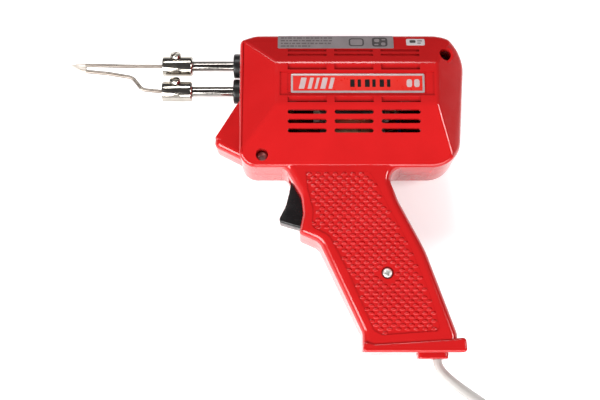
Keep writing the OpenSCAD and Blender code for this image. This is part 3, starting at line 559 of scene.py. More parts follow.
def finish(name, colour, shade, rough, cloud_size=60.0, grain_size=900.0, grain_depth=0.02,
           scratch=0.0, place="Object", **sockets):
    """A material: colour drifting to shade, roughness (low, high), grain and handling scratches.

    Other sockets of the Principled shader are given by name, with _ for a space.
    """
    m = bpy.data.materials.new(name)
    m.use_nodes = True
    t = m.node_tree
    shader = t.nodes["Principled BSDF"]
    where = t.nodes.new("ShaderNodeTexCoord")

    def put(kind, **values):
        n = t.nodes.new("ShaderNodeGroup")
        n.node_tree = kind
        t.links.new(where.outputs[place], n.inputs["Place"])
        for key, value in values.items():
            n.inputs[key].default_value = value
        return n

    tint = put(mottle, Scale=cloud_size)
    mix = t.nodes.new("ShaderNodeMix")
    mix.data_type = "RGBA"
    mix.inputs["A"].default_value = (*colour, 1)
    mix.inputs["B"].default_value = (*shade, 1)
    t.links.new(tint.outputs[0], mix.inputs["Factor"])
    t.links.new(mix.outputs["Result"], shader.inputs["Base Color"])
    last = put(mottle, Scale=cloud_size * 3.1, Low=rough[0], High=rough[1]).outputs[0]
    if scratch:
        last = node(t, "Math", {0: last, 1: put(scratches, Amount=scratch).outputs[0]}, "ADD").outputs[0]
    t.links.new(last, shader.inputs["Roughness"])
    pits = put(grain, Scale=grain_size, Depth=grain_depth * MM)
    bump = node(t, "Bump", {"Height": pits.outputs[0]}, Distance=1.0)
    t.links.new(bump.outputs[0], shader.inputs["Normal"])
    for key, value in sockets.items():
        shader.inputs[key.replace("_", " ")].default_value = value
    return m


def dress(o, material, body="gun", *nodes, slot, smooth=30):
    """Gives a piece its finish, hangs it under its body and hides the CAD nodes it stands in for."""
    if not o.data.materials:
        o.data.materials.append(material)
    else:
        o.data.materials[0] = material
    if smooth:
        only(o)
        bpy.ops.object.shade_smooth_by_angle(angle=math.radians(smooth))
    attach(o, body)
    if nodes:
        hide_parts(*nodes)


RED, DEEP_RED = (0.435, 0.0085, 0.009), (0.4, 0.0074, 0.0078)
red_plastic = finish("red_plastic", RED, DEEP_RED, (0.1, 0.17), 45, 700, 0.012, 0.03, IOR=1.46)

# the lozenges on both grip panels: one is modelled, the rest are copies of it
BUMP_LONG, BUMP_WIDE, BUMP_HIGH = 3.6, 2.1, 0.55
ROW, PITCH = 2.25, 5.1


def inside(p, outline):
    hit = False
    for a, b in zip(outline, outline[1:] + outline[:1]):
        if (a[1] > p[1]) != (b[1] > p[1]) and p[0] < a[0] + (p[1] - a[1]) / (b[1] - a[1]) * (b[0] - a[0]):
            hit = not hit
    return hit


bpy.ops.object.select_all(action="DESELECT")
bpy.ops.mesh.primitive_circle_add(vertices=12, radius=0.5 * MM, fill_type="NGON")
lozenge = bpy.context.object
lozenge.name = "lozenge"
lozenge.data.transform(Matrix.Diagonal((BUMP_LONG, BUMP_WIDE, 1, 1)))
edit_all()
for up, narrow in ((0.45, 0.95), (0.38, 0.72), (0.17, 0.55)):
    bpy.ops.mesh.extrude_region_move(TRANSFORM_OT_translate={"value": (0, 0, up * BUMP_HIGH * MM)})
    bpy.ops.transform.resize(value=(narrow, narrow, 1))
close_up()
edge = [(p.x, p.y) for p in rounded(drawn_in(PANEL, 0.5))]
fall = Matrix.Rotation(math.atan(GRIP_FALL), 4, "X")
lozenges = []
for row in range(48):
    for col in range(20):
        x, y = 36 + PITCH * (col + 0.5 * (row % 2)), -4.2 - ROW * row
        if not all(inside((x + s * BUMP_LONG * 0.1, y + r * BUMP_WIDE * 0.3), edge)
                   for s in (-1, 1) for r in (-1, 1)):
            continue
        if math.hypot(x - SCREWS[2][0], y - SCREWS[2][1]) < 5.7:
            continue
        one = lozenge.copy()
        one.data = lozenge.data.copy()
        scene.collection.objects.link(one)
        one.data.transform(Matrix.Translation(gun(x, y, grip_face(x, y) - 0.62)) @ fall)
        lozenges.append(one)
bpy.data.objects.remove(lozenge)
grip_lozenges = joined(lozenges, "grip_lozenges_left")
far_lozenges = mirrored(grip_lozenges, "grip_lozenges_right")

red_shell.name = red_shell.data.name = "housing_left_shell"
dress(red_shell, red_plastic, "gun", "housing_left", slot="red_plastic", smooth=32)
dress(right_shell, red_plastic, "gun", "housing_right", slot="red_plastic", smooth=32)
dress(grip_lozenges, red_plastic, "gun", slot="red_plastic", smooth=50)
dress(far_lozenges, red_plastic, "gun", slot="red_plastic", smooth=50)
for shell in (red_shell, right_shell):
    change(shell, "WEIGHTED_NORMAL", keep_sharp=True)

# -------------------------------------------------------------------- housing screws
# Three steel screws with domed heads and cross recesses. They go in from the left,
# sit deep in their recesses, and their threads bite into the right half's bosses.
HEAD_R, SHANK_R = 3.1, 1.7


def turned(name, rings, place=(0, 0, 0), way=(0, 0, 1), sides=40):
    """A round piece through rings [radius, height], built up on its axis and then placed."""
    bpy.ops.object.select_all(action="DESELECT")
    bpy.ops.mesh.primitive_circle_add(vertices=sides, radius=rings[0][0] * MM, fill_type="NGON")
    o = bpy.context.object
    o.name = o.data.name = name
    edit_all()
    for (r0, h0), (r1, h1) in zip(rings, rings[1:]):
        bpy.ops.mesh.extrude_region_move(TRANSFORM_OT_translate={"value": (0, 0, (h1 - h0) * MM)})
        bpy.ops.transform.resize(value=(r1 / r0, r1 / r0, 1))
    close_up()
    set_at(o, place, way, rings[0][1])
    return o


def set_at(o, place, way, start=0.0):
    """Turns a piece's +Z to a direction and moves it to its place on the gun."""
    turn = Vector(way).to_track_quat("Z", "Y").to_matrix().to_4x4()
    o.data.transform(Matrix.Translation(gun(*place)) @ turn @ Matrix.Translation((0, 0, start * MM)))


bright_steel = finish("bright_steel", (0.8, 0.79, 0.76), (0.68, 0.67, 0.64), (0.34, 0.5), 300, 2500,
                      0.004, 0.1, Metallic=0.75)
for number, (x, y, head) in enumerate(SCREWS):
    tip_z = 2 - 2 * head
    rings = [[0.9, tip_z], [1.5, tip_z + 1.6]]
    h = tip_z + 2.2
    while h < -3.0:
        rings += [[SHANK_R, h], [SHANK_R, h + 0.25], [1.42, h + 0.55], [1.42, h + 0.8]]
        h += 1.1
    rings += [[SHANK_R, h], [SHANK_R, 0], [3.0, 0], [HEAD_R, 0.15], [HEAD_R, 0.7], [3.0, 1.15], [2.7, 1.6],
              [2.1, 1.95], [1.3, 2.15], [0.5, 2.2]]
    screw = turned("housing_screw_%d" % (number + 1), rings, (x, y, head))
    for turn in (20, 110):
        arm = box("arm", (-1.85, -0.42, 0.95), (1.85, 0.42, 3))
        arm.data.transform(Matrix.Translation(gun(x, y, head)) @ Matrix.Rotation(math.radians(turn), 4, "Z")
                           @ TO_ORIGIN)
        carve(screw, arm)
    dress(screw, bright_steel, "gun", "housing_screws", slot="screw_steel", smooth=35)

# ------------------------------------------------------------------------- nameplate
# A thin stamped aluminium plate glued into the pocket of the flat. Its sunk field is
# printed orange-red; the marks on it are plain bars and blocks with no lettering.
PLATE_Z = 28.8
OUTLINE = oblong(30.5, 42.2, 108.7, 53.8, 0.8)
plate = stack("nameplate_plate", OUTLINE, [[0, PLATE_Z], [0, PLATE_Z + 0.38], [0.05, PLATE_Z + 0.46],
                                           [0.14, PLATE_Z + 0.5], [1.15, PLATE_Z + 0.5],
                                           [1.22, PLATE_Z + 0.4]], 15)
plate_silver = finish("plate_silver", (0.4, 0.33, 0.33), (0.34, 0.27, 0.27), (0.3, 0.42), 200, 1800,
                      0.004, 0.04, Metallic=0.3)
field_red = finish("field_red", (0.54, 0.016, 0.009), (0.5, 0.012, 0.007), (0.25, 0.35), 80, 1500, 0.004)
mark_silver = finish("mark_silver", (0.44, 0.33, 0.33), (0.38, 0.28, 0.28), (0.4, 0.5), 300, 1500, 0.004)
mark_black = finish("mark_black", (0.006, 0.005, 0.005), (0.01, 0.008, 0.008), (0.25, 0.35), 300, 1500,
                    0.004, Specular_IOR_Level=0.2)
dress(plate, plate_silver, "gun", "nameplate", slot="nameplate_silver", smooth=30)
plate.data.materials.append(field_red)
for f in plate.data.polygons:
    if f.normal.z > 0.9 and f.center.z < gun(0, 0, PLATE_Z + 0.42).z:
        f.material_index = 1


def mark(corners, z, material, name):
    """A flat printed mark, a few hundredths of a millimetre thick."""
    o = stack(name, corners, [[0, z - 0.05], [0, z + 0.03], [0.04, z + 0.05]], 30)
    dress(o, material, "gun", slot="nameplate_silver", smooth=0)
    return o


z = PLATE_Z + 0.4
silver_marks = []
for x, wide in ((35.0, 3.2), (40.2, 2.2), (44.2, 1.6), (47.6, 3.0), (52.4, 2.2)):
    silver_marks.append(mark([[x, 44.6, 0.2], [x + wide, 44.6, 0.2], [x + wide + 1.6, 51.4, 0.2],
                              [x + 1.6, 51.4, 0.2]], z, mark_silver, "slanted_mark"))
for x in (98.2, 102.6):
    silver_marks.append(mark(oblong(x, 45.6, x + 3.2, 50.4, 1.2), z, mark_silver, "round_mark"))
silver_marks = joined(silver_marks, "nameplate_silver_marks")
black_marks = []
for k, wide in enumerate((2.6, 2.0, 2.8, 2.0, 2.6, 2.0)):
    x = 65.2 + 4.3 * k
    black_marks.append(mark(oblong(x, 45.7, x + wide, 50.3, 0.3), z, mark_black, "block_mark"))
black_marks = joined(black_marks, "nameplate_black_marks")

# ---------------------------------------------------------------- labels on the slope
# Two printed foil labels glued to the slope above the flat: a long silver one with
# rows of fine marks and two dark shapes, and a small white one.
LABEL_Y = 75.2
TOP_TILT = math.atan(TOP_FALL[0] / TOP_FALL[1])


def slope_point(x, up, proud=0.0):
    """A point on the slope above the flat, up along it from the labels' middle line."""
    y = LABEL_Y + up * math.cos(TOP_TILT) + proud * math.sin(TOP_TILT)
    z = side_z(50, LABEL_Y) - up * math.sin(TOP_TILT) + proud * math.cos(TOP_TILT)
    return gun(x, y, z)


def on_slope(o):
    """Lays a piece made at the gun's front foot on the slope."""
    o.data.transform(Matrix.Translation(slope_point(0, 0)) @ Matrix.Rotation(-TOP_TILT, 4, "X")
                     @ TO_ORIGIN)
    return o


def foil(name, x0, x1, high, thick=0.25):
    return on_slope(stack(name, oblong(x0, -high / 2, x1, high / 2, 0.8),
                          [[0, 0.0], [0, thick - 0.05], [0.05, thick]], 18))


label_foil = finish("label_foil", (0.25, 0.215, 0.22), (0.21, 0.18, 0.185), (0.35, 0.5), 150, 1500, 0.003,
                    0.04, Metallic=0.3)
label_paper = finish("label_paper", (0.5, 0.46, 0.47), (0.45, 0.41, 0.42), (0.4, 0.5), 150, 1500, 0.003)
ink = finish("ink", (0.03, 0.025, 0.025), (0.05, 0.04, 0.04), (0.5, 0.6), 400, 1500, 0.003)
ink_grey = finish("ink_grey", (0.07, 0.055, 0.055), (0.1, 0.08, 0.08), (0.5, 0.6), 400, 1500, 0.003)
rating = foil("rating_foil", 22.6, 91.4, 10)
dress(rating, label_foil, "gun", "rating_label", slot="rating_silver", smooth=0)
dates = foil("date_foil", 99, 110, 5)
dress(dates, label_paper, "gun", "date_label", slot="label_white", smooth=0)


def dash(x0, x1, y, high, name, material, slot, r=0.1, over=0.0):
    o = on_slope(stack(name, oblong(x0, y - high / 2, x1, y + high / 2, r),
                       [[0, 0.2], [0, over + 0.265], [0.02, over + 0.28]], 45))
    dress(o, material, "gun", slot=slot, smooth=0)
    return o


rows = [(3.3, (1.8, 0.9, 2.6, 1.4, 3.2, 0.8, 2.2, 1.6, 2.9, 1.1, 2.0, 2.4)),
        (1.1, (2.4, 1.2, 1.6, 2.8, 0.9, 1.9, 3.1, 1.3, 2.2, 0.9, 2.6, 1.8)),
        (-1.1, (1.2, 2.6, 0.8, 1.8, 2.4, 2.9, 1.0, 2.1, 1.5, 2.7, 1.2, 1.9)),
        (-3.3, (2.8, 1.5, 2.2, 0.9, 1.7, 3.0, 1.2))]
dashes = []
for y, widths in rows:
    x = 24.4
    for wide in widths:
        dashes.append(dash(x, x + wide, y, 0.95, "dash", ink_grey, "rating_silver"))
        x += wide + 0.7
for x0, x1, y, high in ((64.8, 73.8, -0.2, 6.4), (78.6, 87.8, -0.1, 7.4)):
    dashes.append(dash(x0, x1, y, high, "shape", ink, "rating_silver", 1.6))
joined(dashes, "rating_marks")
joined([dash(x0, x1, y, high, "gap", label_foil, "rating_silver", r, 0.04) for x0, x1, y, high, r in (
    (65.7, 72.9, -0.2, 4.8, 1.0), (80.0, 83.0, 1.2, 2.6, 0.8), (84.0, 86.6, -1.6, 2.4, 0.8),
    (80.0, 82.4, -2.1, 1.0, 0.3), (84.4, 86.6, 1.9, 1.0, 0.3))], "rating_mark_gaps")
joined([dash(101.0, 104.6, 0.4, 2.2, "shape", ink, "label_white", 0.5),
        dash(105.6, 108.4, 0.9, 0.8, "dash", ink_grey, "label_white"),
        dash(105.6, 107.6, -0.9, 0.8, "dash", ink_grey, "label_white")], "date_marks")

# ------------------------------------------------------------------------------ lamp
# A clear pressed lens on the sloping face of the nose, with a small bulb behind it in
# a black holder; its two thin wires run back under the vents to the transformer.
LENS_WAY = Vector((-math.cos(LENS_TURN), math.sin(LENS_TURN), 0))
lens_clear = finish("lens_clear", (0.93, 0.95, 0.97), (0.88, 0.9, 0.94), (0.03, 0.08), 200, 1200, 0.004,
                    IOR=1.49, Transmission_Weight=0.85)
lens = turned("lens_disc", [[5.0, -2.2], [5.85, -2.1], [5.95, -1.9], [5.95, -0.2], [5.8, 0], [5.2, 0.05],
                            [5.0, -0.1], [4.9, 0.05], [4.2, 0.3], [3.2, 0.5], [2.0, 0.63], [0.8, 0.68]],
              LENS_AT, LENS_WAY, 48)
dress(lens, lens_clear, "gun", "lamp_lens", slot="lens", smooth=40)


def tidied(node, name, material, body="gun", smooth=35, bevel=0.0):
    """A copy of a CAD piece with its loose triangles merged and its curves smoothed."""
    source = frame["nodes"][node]
    o = bpy.data.objects.new(name, source.data.copy())
    scene.collection.objects.link(o)
    o.data.name = name
    o.data.materials.clear()
    only(o)
    edit_all()
    bpy.ops.mesh.remove_doubles(threshold=2e-6)
    bpy.ops.mesh.dissolve_limited(angle_limit=math.radians(0.5))
    bpy.ops.object.mode_set(mode="OBJECT")
    if bevel:
        change(o, "BEVEL", width=bevel * MM, segments=2, limit_method="ANGLE", angle_limit=math.radians(40))
    slots = {s["node"]: s["material_slot"] for s in frame["record"]["subparts"]}
    dress(o, material, body, node, slot=slots[node], smooth=smooth)
    return o


black_plastic = finish("black_plastic", (0.006, 0.006, 0.0065), (0.01, 0.01, 0.01), (0.28, 0.4), 90, 900,
                       0.012, 0.05, Specular_IOR_Level=0.3)
bulb_glass = finish("bulb_glass", (0.95, 0.93, 0.85), (0.9, 0.86, 0.75), (0.02, 0.06), 200, 900, 0.002,
                    IOR=1.5, Transmission_Weight=0.7)
wire_tan = finish("wire_tan", (0.33, 0.17, 0.07), (0.25, 0.12, 0.05), (0.4, 0.55), 200, 1200, 0.01)
tidied("lamp_bulb", "bulb", bulb_glass)
tidied("lamp_holder", "bulb_holder", black_plastic, bevel=0.25)
tidied("lamp_wires", "lamp_leads", wire_tan, smooth=60)

# ----------------------------------------------------------------------- transformer
# A stack of thin steel laminations in a zinc-plated channel, a moulded bobbin with the
# enamelled mains winding under yellow tape, and one heavy copper turn through it all.
lamination = finish("lamination_steel", (0.2, 0.19, 0.18), (0.13, 0.12, 0.11), (0.35, 0.55), 120, 1500,
                    0.01, 0.1, Metallic=0.9)
sheets = lamination.node_tree
sheets.nodes.remove(sheets.nodes["Bump"].inputs["Height"].links[0].from_node)
edges = node(sheets, "TexWave", {"Vector": sheets.nodes["Texture Coordinate"].outputs["Object"]},
             Scale=320, Distortion=0.3)
edges.bands_direction = "X"
edges.wave_profile = "TRI"
sheets.links.new(edges.outputs["Fac"], sheets.nodes["Bump"].inputs["Height"])
sheets.nodes["Bump"].inputs["Distance"].default_value = 0.00008
zinc = finish("zinc_steel", (0.6, 0.5, 0.26), (0.5, 0.46, 0.3), (0.25, 0.45), 70, 1500, 0.006, 0.15,
              Metallic=1.0)
nylon = finish("bobbin_nylon", (0.72, 0.66, 0.5), (0.64, 0.57, 0.42), (0.4, 0.55), 60, 900, 0.01)
enamel = finish("enamelled_copper", (0.6, 0.22, 0.07), (0.45, 0.15, 0.05), (0.2, 0.35), 200, 2200, 0.03,
                Metallic=0.8)
yellow_tape = finish("yellow_tape", (0.7, 0.52, 0.06), (0.6, 0.42, 0.05), (0.15, 0.3), 60, 900, 0.006)
copper = finish("bare_copper", (0.75, 0.33, 0.17), (0.6, 0.24, 0.13), (0.25, 0.42), 90, 1500, 0.006, 0.15,
                Metallic=1.0)
tidied("core_laminations", "lamination_stack", lamination)
tidied("core_frame", "core_channel", zinc, bevel=0.3)
tidied("coil_bobbin", "winding_bobbin", nylon, bevel=0.2)
tidied("primary_winding", "mains_winding", enamel, bevel=0.6)
tidied("winding_tape", "winding_wrap", yellow_tape)
tidied("secondary_loop", "heavy_turn", copper, smooth=50)

# -------------------------------------------------------- output bars, bushings, sockets
# Two nickel-plated bars carry the current out through black insulating bushings. On
# each bar's end sits a turned socket whose slotted screw clamps the tip's wire.
BAR_R = 3.1
SOCKET_X, SOCKET_R, SOCKET_LEN = -48.4, 6.15, 18.4
CLAMP_X = SOCKET_X + SOCKET_LEN * 0.44
CLAMP_WAY = Vector((0, 1, 1)).normalized()
nickel = finish("nickel_plate", (0.47, 0.44, 0.39), (0.37, 0.34, 0.3), (0.09, 0.18), 150, 2500, 0.003,
                0.1, Metallic=1.0)
bars = []
for y in (BAR_UP, BAR_DOWN):
    bars.append(turned("bar", [[2.6, -37], [3.0, -36.8], [BAR_R, -36.4], [BAR_R, 14.2], [3.0, 14.6],
                               [2.85, 14.6], [2.8, 6.6]], (0, y, 0), (1, 0, 0), 40))
bars = joined(bars, "bright_bars")
# The bars get a darker copy of the sockets' nickel: painted shade for the dark reflections along them.
bar_nickel_painted_dark = finish("bar_nickel_painted_dark", (0.3, 0.28, 0.26), (0.22, 0.2, 0.185), (0.1, 0.22), 150, 2500, 0.004,
                     0.12, Metallic=1.0)
dress(bars, bar_nickel_painted_dark, "gun", "output_bars", slot="nickel", smooth=30)
for y, which in ((BAR_UP, "upper"), (BAR_DOWN, "lower")):
    flange = [[3.15, -4.7], [3.4, -4.8], [6.7, -4.8], [7.2, -4.6], [7.45, -4.1], [7.5, -3.6], [7.5, -0.1],
              [7.4, 0], [4.8, 0], [4.8, 5.6], [3.2, 5.6], [3.15, -4.0]]
    bushing = turned("insulator_" + which, flange, (0, y, 0), (1, 0, 0), 48)
    dress(bushing, black_plastic, "gun", "bushing_" + which, slot="black_plastic", smooth=30)
    barrel = [[1.25, 1.5], [1.25, 0.15], [1.4, 0], [5.5, 0], [5.95, 0.2], [SOCKET_R, 0.7], [SOCKET_R, 17.2],
              [6.0, 17.7], [5.3, SOCKET_LEN], [3.3, SOCKET_LEN], [3.12, 18.2], [3.12, 12.2]]
    socket = turned("socket_" + which, barrel, (SOCKET_X, y, 0), (1, 0, 0), 56)
    drill = turned("drill", [[2.1, 1.4], [2.1, 9]], (CLAMP_X, y, 0), CLAMP_WAY, 28)
    carve(socket, drill)
    dress(socket, nickel, "gun", "tip_socket_" + which, slot="nickel", smooth=30)

    rings = [[1.3, 1.3], [1.7, 1.6]]
    h = 2.1
    while h < 5.6:
        rings += [[2.0, h], [2.0, h + 0.15], [1.75, h + 0.4], [1.75, h + 0.5]]
        h += 0.7
    rings += [[1.9, h], [1.9, 6.35], [3.0, 6.35], [3.3, 6.6], [3.3, 7.9], [3.2, 8.3], [2.9, 8.65],
              [2.3, 8.85], [1.2, 8.95], [0.5, 8.95]]
    clamp = turned("clamp_screw_" + which, rings, (CLAMP_X, y, 0), CLAMP_WAY, 40)
    groove = box("groove", (-5, -0.5, 7.75), (5, 0.5, 12))
    groove.data.transform(TO_ORIGIN)
    groove.data.transform(Matrix.Rotation(math.radians(62 if which == "upper" else 24), 4, "Z"))
    set_at(groove, (CLAMP_X, y, 0), CLAMP_WAY)
    carve(clamp, groove)
    dress(clamp, nickel, which + "_clamp", "tip_screw_" + which, slot="screw_steel", smooth=35)

# ------------------------------------------------------------------------------- tip
# One bent copper wire, tinned and dulled by heat. Its two legs run from the sockets to
# a hammered flat point, open at the heel where the legs meet it.
WIRE_D = 2.4
TIP_X, BEND = -105.6, -97.6


def smooth_path(points, reach, n=6):
    """Rounds each bend of a chain of points over the given reach."""
    points = [Vector(p) for p in points]
    out = [points[0]]
    for a, b, c in zip(points, points[1:], points[2:]):
        r = min(reach, (b - a).length * 0.45, (c - b).length * 0.45)
        s, e = b + (a - b).normalized() * r, b + (c - b).normalized() * r
        for k in range(n + 1):
            t = k / n
            out.append(s * (1 - t) ** 2 + b * 2 * t * (1 - t) + e * t ** 2)
    return out + [points[-1]]


def rod(name, points, d, sides=5):
    """A round wire along points on the gun."""
    bpy.ops.object.select_all(action="DESELECT")
    bpy.ops.curve.primitive_nurbs_path_add()
    o = bpy.context.object
    o.name = name
    o.data.splines.clear()
    line = o.data.splines.new("POLY")
    line.points.add(len(points) - 1)
    for p, q in zip(line.points, points):
        p.co = (*gun(*q), 1)
    o.data.bevel_depth = d / 2 * MM
    o.data.bevel_resolution = sides
    o.data.use_fill_caps = True
    o.data.twist_mode = "MINIMUM"
    bpy.ops.object.convert(target="MESH")
    o.data.name = name
    only(o)
    edit_all()
    close_up(2e-6)
    return o


inside_x = -37.5
upper_bends = [(inside_x, BAR_UP, 0), (SOCKET_X - 20, BAR_UP, 0), (BEND + 1, BAR_UP + 0.7, 0),
               (BEND - 2.4, BAR_UP + 0.6, 0)]
lower_bends = [(BEND - 1.6, BAR_UP - 2.6, 0), (BEND + 3, BAR_UP - 3.4, 0), (BEND + 16, BAR_UP - 4.7, 0),
               (SOCKET_X - 20, BAR_DOWN + 9.2, 0), (SOCKET_X - 18, BAR_DOWN + 8.2, 0),
               (SOCKET_X - 13, BAR_DOWN + 2.0, 0), (SOCKET_X - 11, BAR_DOWN + 1.1, 0),
               (SOCKET_X - 1, BAR_DOWN + 0.1, 0), (inside_x, BAR_DOWN, 0)]
upper_leg = rod("upper_leg", smooth_path(upper_bends, 5), WIRE_D)
lower_leg = rod("lower_leg", smooth_path(lower_bends, 1.2), WIRE_D)
LEAF = [[TIP_X, BAR_UP + 0.4, 0.3], [TIP_X + 5, BAR_UP - 2.6, 2], [BEND + 3, BAR_UP - 4.2, 0.4],
        [BEND + 3, BAR_UP - 2.2, 0.4], [BEND - 1, BAR_UP - 1.2, 1], [BEND + 3, BAR_UP - 0.2, 0.4],
        [BEND + 3, BAR_UP + 1.7, 0.4], [BEND - 2, BAR_UP + 1.9, 2]]
leaf = stack("leaf", LEAF, [[0.28, -0.9], [0.1, -0.75], [0, -0.45], [0, 0.45], [0.1, 0.75], [0.28, 0.9]], 12)
carve(upper_leg, lower_leg, "UNION")
carve(upper_leg, leaf, "UNION")
upper_leg.name = upper_leg.data.name = "bent_tip"
tinned_copper = finish("tinned_copper", (0.27, 0.235, 0.205), (0.2, 0.165, 0.14), (0.25, 0.42), 140, 900,
                       0.03, 0.1, Metallic=1.0)
bright_tin = finish("bright_tin", (0.72, 0.66, 0.6), (0.5, 0.44, 0.38), (0.4, 0.6), 240, 700, 0.06, 0.1,
                    Metallic=0.7)
dress(upper_leg, tinned_copper, "gun", "soldering_tip", slot="tip_copper", smooth=40)
upper_leg.data.materials.append(bright_tin)
for f in upper_leg.data.polygons:
    if f.center.x < gun(BEND + 1.5, 0, 0).x:
        f.material_index = 1

# --------------------------------------------------------------------------- trigger
# A moulded black lever with a soft rim and a curved finger face. It turns on a steel
# pin that spans the two halves, and pushes the switch's plunger.
TRIGGER = [[30.5, -5.8, 1], [29.2, -13, 12], [27.4, -20.5, 14], [23.4, -28.2, 3], [24, -30.6, 1.2],
           [36.8, -34.4, 4], [44, -34.8, 1], [45.4, -30, 2], [45.4, -14, 2], [42.5, -7, 0], [42, -2.6, 4],
           [34, -2.6, 3]]
rings = []
for side in (-1, 1):
    for k in range(6):
        t = math.pi / 2 * (k if side < 0 else 5 - k) / 5
        rings.append([1.6 * (1 - math.sin(t)), side * (4.9 + 1.6 * math.cos(t))])
rings[0][0] = rings[-1][0] = 1.55
lever = stack("trigger_blade", TRIGGER, rings, 10)
carve(lever, drum("pin_hole", (38, -7, -12), 3.1, 24, sides=28))
trigger_black = finish("trigger_black", (0.006, 0.005, 0.0055), (0.01, 0.009, 0.0095), (0.2, 0.32), 70,
                       700, 0.015, 0.05, Specular_IOR_Level=0.35)
dress(lever, trigger_black, "trigger_lever", "trigger", slot="trigger_black", smooth=35)
tidied("trigger_pin", "lever_pin", bright_steel, bevel=0.3)
spring = tidied("trigger_spring", "return_spring", bright_steel, smooth=60)
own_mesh(spring)

# ---------------------------------------------------------------------------- switch
# A closed dark moulding behind the trigger with a nylon plunger and two brass tags,
# and the wires from the lead and the transformer that are pushed on to them.
switch_dark = finish("switch_moulding", (0.05, 0.05, 0.055), (0.08, 0.08, 0.085), (0.45, 0.6), 80, 900,
                     0.015)
brass = finish("brass", (0.72, 0.52, 0.2), (0.6, 0.42, 0.16), (0.2, 0.36), 150, 2000, 0.005, 0.15,
               Metallic=1.0)
wire_brown = finish("brown_sleeve", (0.16, 0.055, 0.02), (0.11, 0.035, 0.012), (0.35, 0.5), 200, 1200, 0.01)
wire_blue = finish("blue_sleeve", (0.03, 0.12, 0.5), (0.02, 0.09, 0.4), (0.35, 0.5), 200, 1200, 0.01)
tidied("switch_housing", "switch_case", switch_dark, bevel=0.5)
tidied("switch_plunger", "plunger_pin", nylon, "plunger", smooth=30)
tidied("switch_terminals", "switch_tags", brass, bevel=0.15)
tidied("live_wire", "live_lead", wire_brown, smooth=60)
tidied("switched_wire", "switched_lead", wire_brown, smooth=60)
tidied("neutral_wire", "neutral_lead", wire_blue, smooth=60)
tidied("wire_joints", "crimp_caps", nylon, bevel=0.4)

# --------------------------------------------------------------------- gland and clamp
# The lead leaves through a short red gland under the base. Inside the grip a black bar
# with two screws holds it against posts moulded in the right half.
gland = box("lead_gland", (104, -GRIP_DROP - 3.2, -7), (121.8, -107.35, 7))
round_off(gland, along_y, 2.5, 6)
round_off(gland, lambda e: max(v.co.y for v in e.verts) < gun(0, -110.5, 0).y, 0.9, 4)
carve(gland, drum("lead_hole", (LEAD_X, -114, 0), LEAD_HOLE, 10, (-quarter, 0, 0), 40))
dress(gland, red_plastic, "gun", "cord_gland", slot="red_plastic", smooth=35)
tidied("cord_clamp", "clamp_bar", black_plastic, bevel=0.4)
tidied("cord_clamp_screws", "clamp_bar_screws", bright_steel, bevel=0.2)

# ------------------------------------------------------------------------- mains lead
# A flat-oval two-core lead in warm light grey PVC. It drops from the gland to the
# table, and the rest of its 1.5 m lies wound in a coil held by a strap, by its plug.
LEAD_W, LEAD_T = 7.2, 4.8
COIL_X, COIL_Y, RING = 134.0, -178.0, 39.3
LAYERS = [3.0, 7.9, 12.8]
COMES_IN, WOUND = 53.0, 5 * 360 + 143


def ease(t):
    t = min(1, max(0, t))
    return t * t * (3 - 2 * t)


def coil_point(turned_by):
    """The lead's middle after some degrees of winding, clockwise seen from above."""
    wide, narrow = RING + 3.7, RING - 3.7
    r, z = wide, LAYERS[0]
    for a0, a1, to_r, to_z in ((315, 360, narrow, None), (640, 685, None, LAYERS[1]),
                               (1035, 1080, wide, None), (1365, 1405, None, LAYERS[2]),
                               (1400, 1445, narrow, None), (1755, 1800, wide, None)):
        t = ease((turned_by - a0) / (a1 - a0))
        r += (to_r - r) * t if to_r else 0
        z += (to_z - z) * t if to_z else 0
    f = math.radians(COMES_IN - turned_by)
    return Vector((COIL_X + r * math.cos(f), COIL_Y + r * math.sin(f), z))


def threaded(points, n):
    """A smooth curve through points, n steps from each to the next."""
    out = []
    for i in range(len(points) - 1):
        a, b = points[max(i - 1, 0)], points[i]
        c, d = points[i + 1], points[min(i + 2, len(points) - 1)]
        for k in range(n):
            t = k / n
            out.append(0.5 * (2 * b + (c - a) * t + (2 * a - 5 * b + 4 * c - d) * t * t
                              + (3 * b - a - 3 * c + d) * t ** 3))
    return out + [points[-1]]


down_to_table = [Vector(p) for p in (
    (101.6, -95.5, 30), (102.2, -99, 29.8), (105.5, -104, 29), (112, -109.5, 26.8), (119.4, -114.6, 23.2),
    (126, -118.9, 19.2), (133, -123.5, 14.8), (140, -128.2, 10.6), (147, -133, 7), (153.5, -137.7, 4.4))]
rings_of_lead = [coil_point(a) for a in range(0, WOUND + 1, 15)]
to_plug = [Vector(p) for p in ((127, -221.3, 12.3), (120, -221.8, 10.4), (113, -222, 8.2), (106, -222, 7),
                               (97, -222, 6.85))]
route = threaded(down_to_table + rings_of_lead + to_plug, 4)
verts, faces, sides = [], [], 16
for i, p in enumerate(route):
    d = (route[min(i + 1, len(route) - 1)] - route[max(i - 1, 0)]).normalized()
    side = d.cross(Vector((0, 0, 1))).normalized()
    up = side.cross(d)
    roll = math.radians(58 * (1 - ease(i / 40)))
    wide = side * math.cos(roll) + up * math.sin(roll)
    thin = up * math.cos(roll) - side * math.sin(roll)
    for k in range(sides):
        t = 2 * math.pi * k / sides
        verts.append((p + wide * LEAD_W / 2 * math.cos(t) + thin * LEAD_T / 2 * math.sin(t)) * MM)
for i in range(len(route) - 1):
    for k in range(sides):
        m = (k + 1) % sides
        faces.append((i * sides + k, i * sides + m, (i + 1) * sides + m, (i + 1) * sides + k))
faces.append(tuple(range(sides - 1, -1, -1)))
faces.append(tuple((len(route) - 1) * sides + k for k in range(sides)))
mesh = bpy.data.meshes.new("mains_lead")
mesh.from_pydata(verts, [], faces)
mains_lead = bpy.data.objects.new("mains_lead", mesh)
scene.collection.objects.link(mains_lead)
only(mains_lead)
edit_all()
close_up()
grey_pvc = finish("grey_pvc", (0.45, 0.425, 0.405), (0.4, 0.375, 0.355), (0.38, 0.5), 60, 1200, 0.01, 0.1)
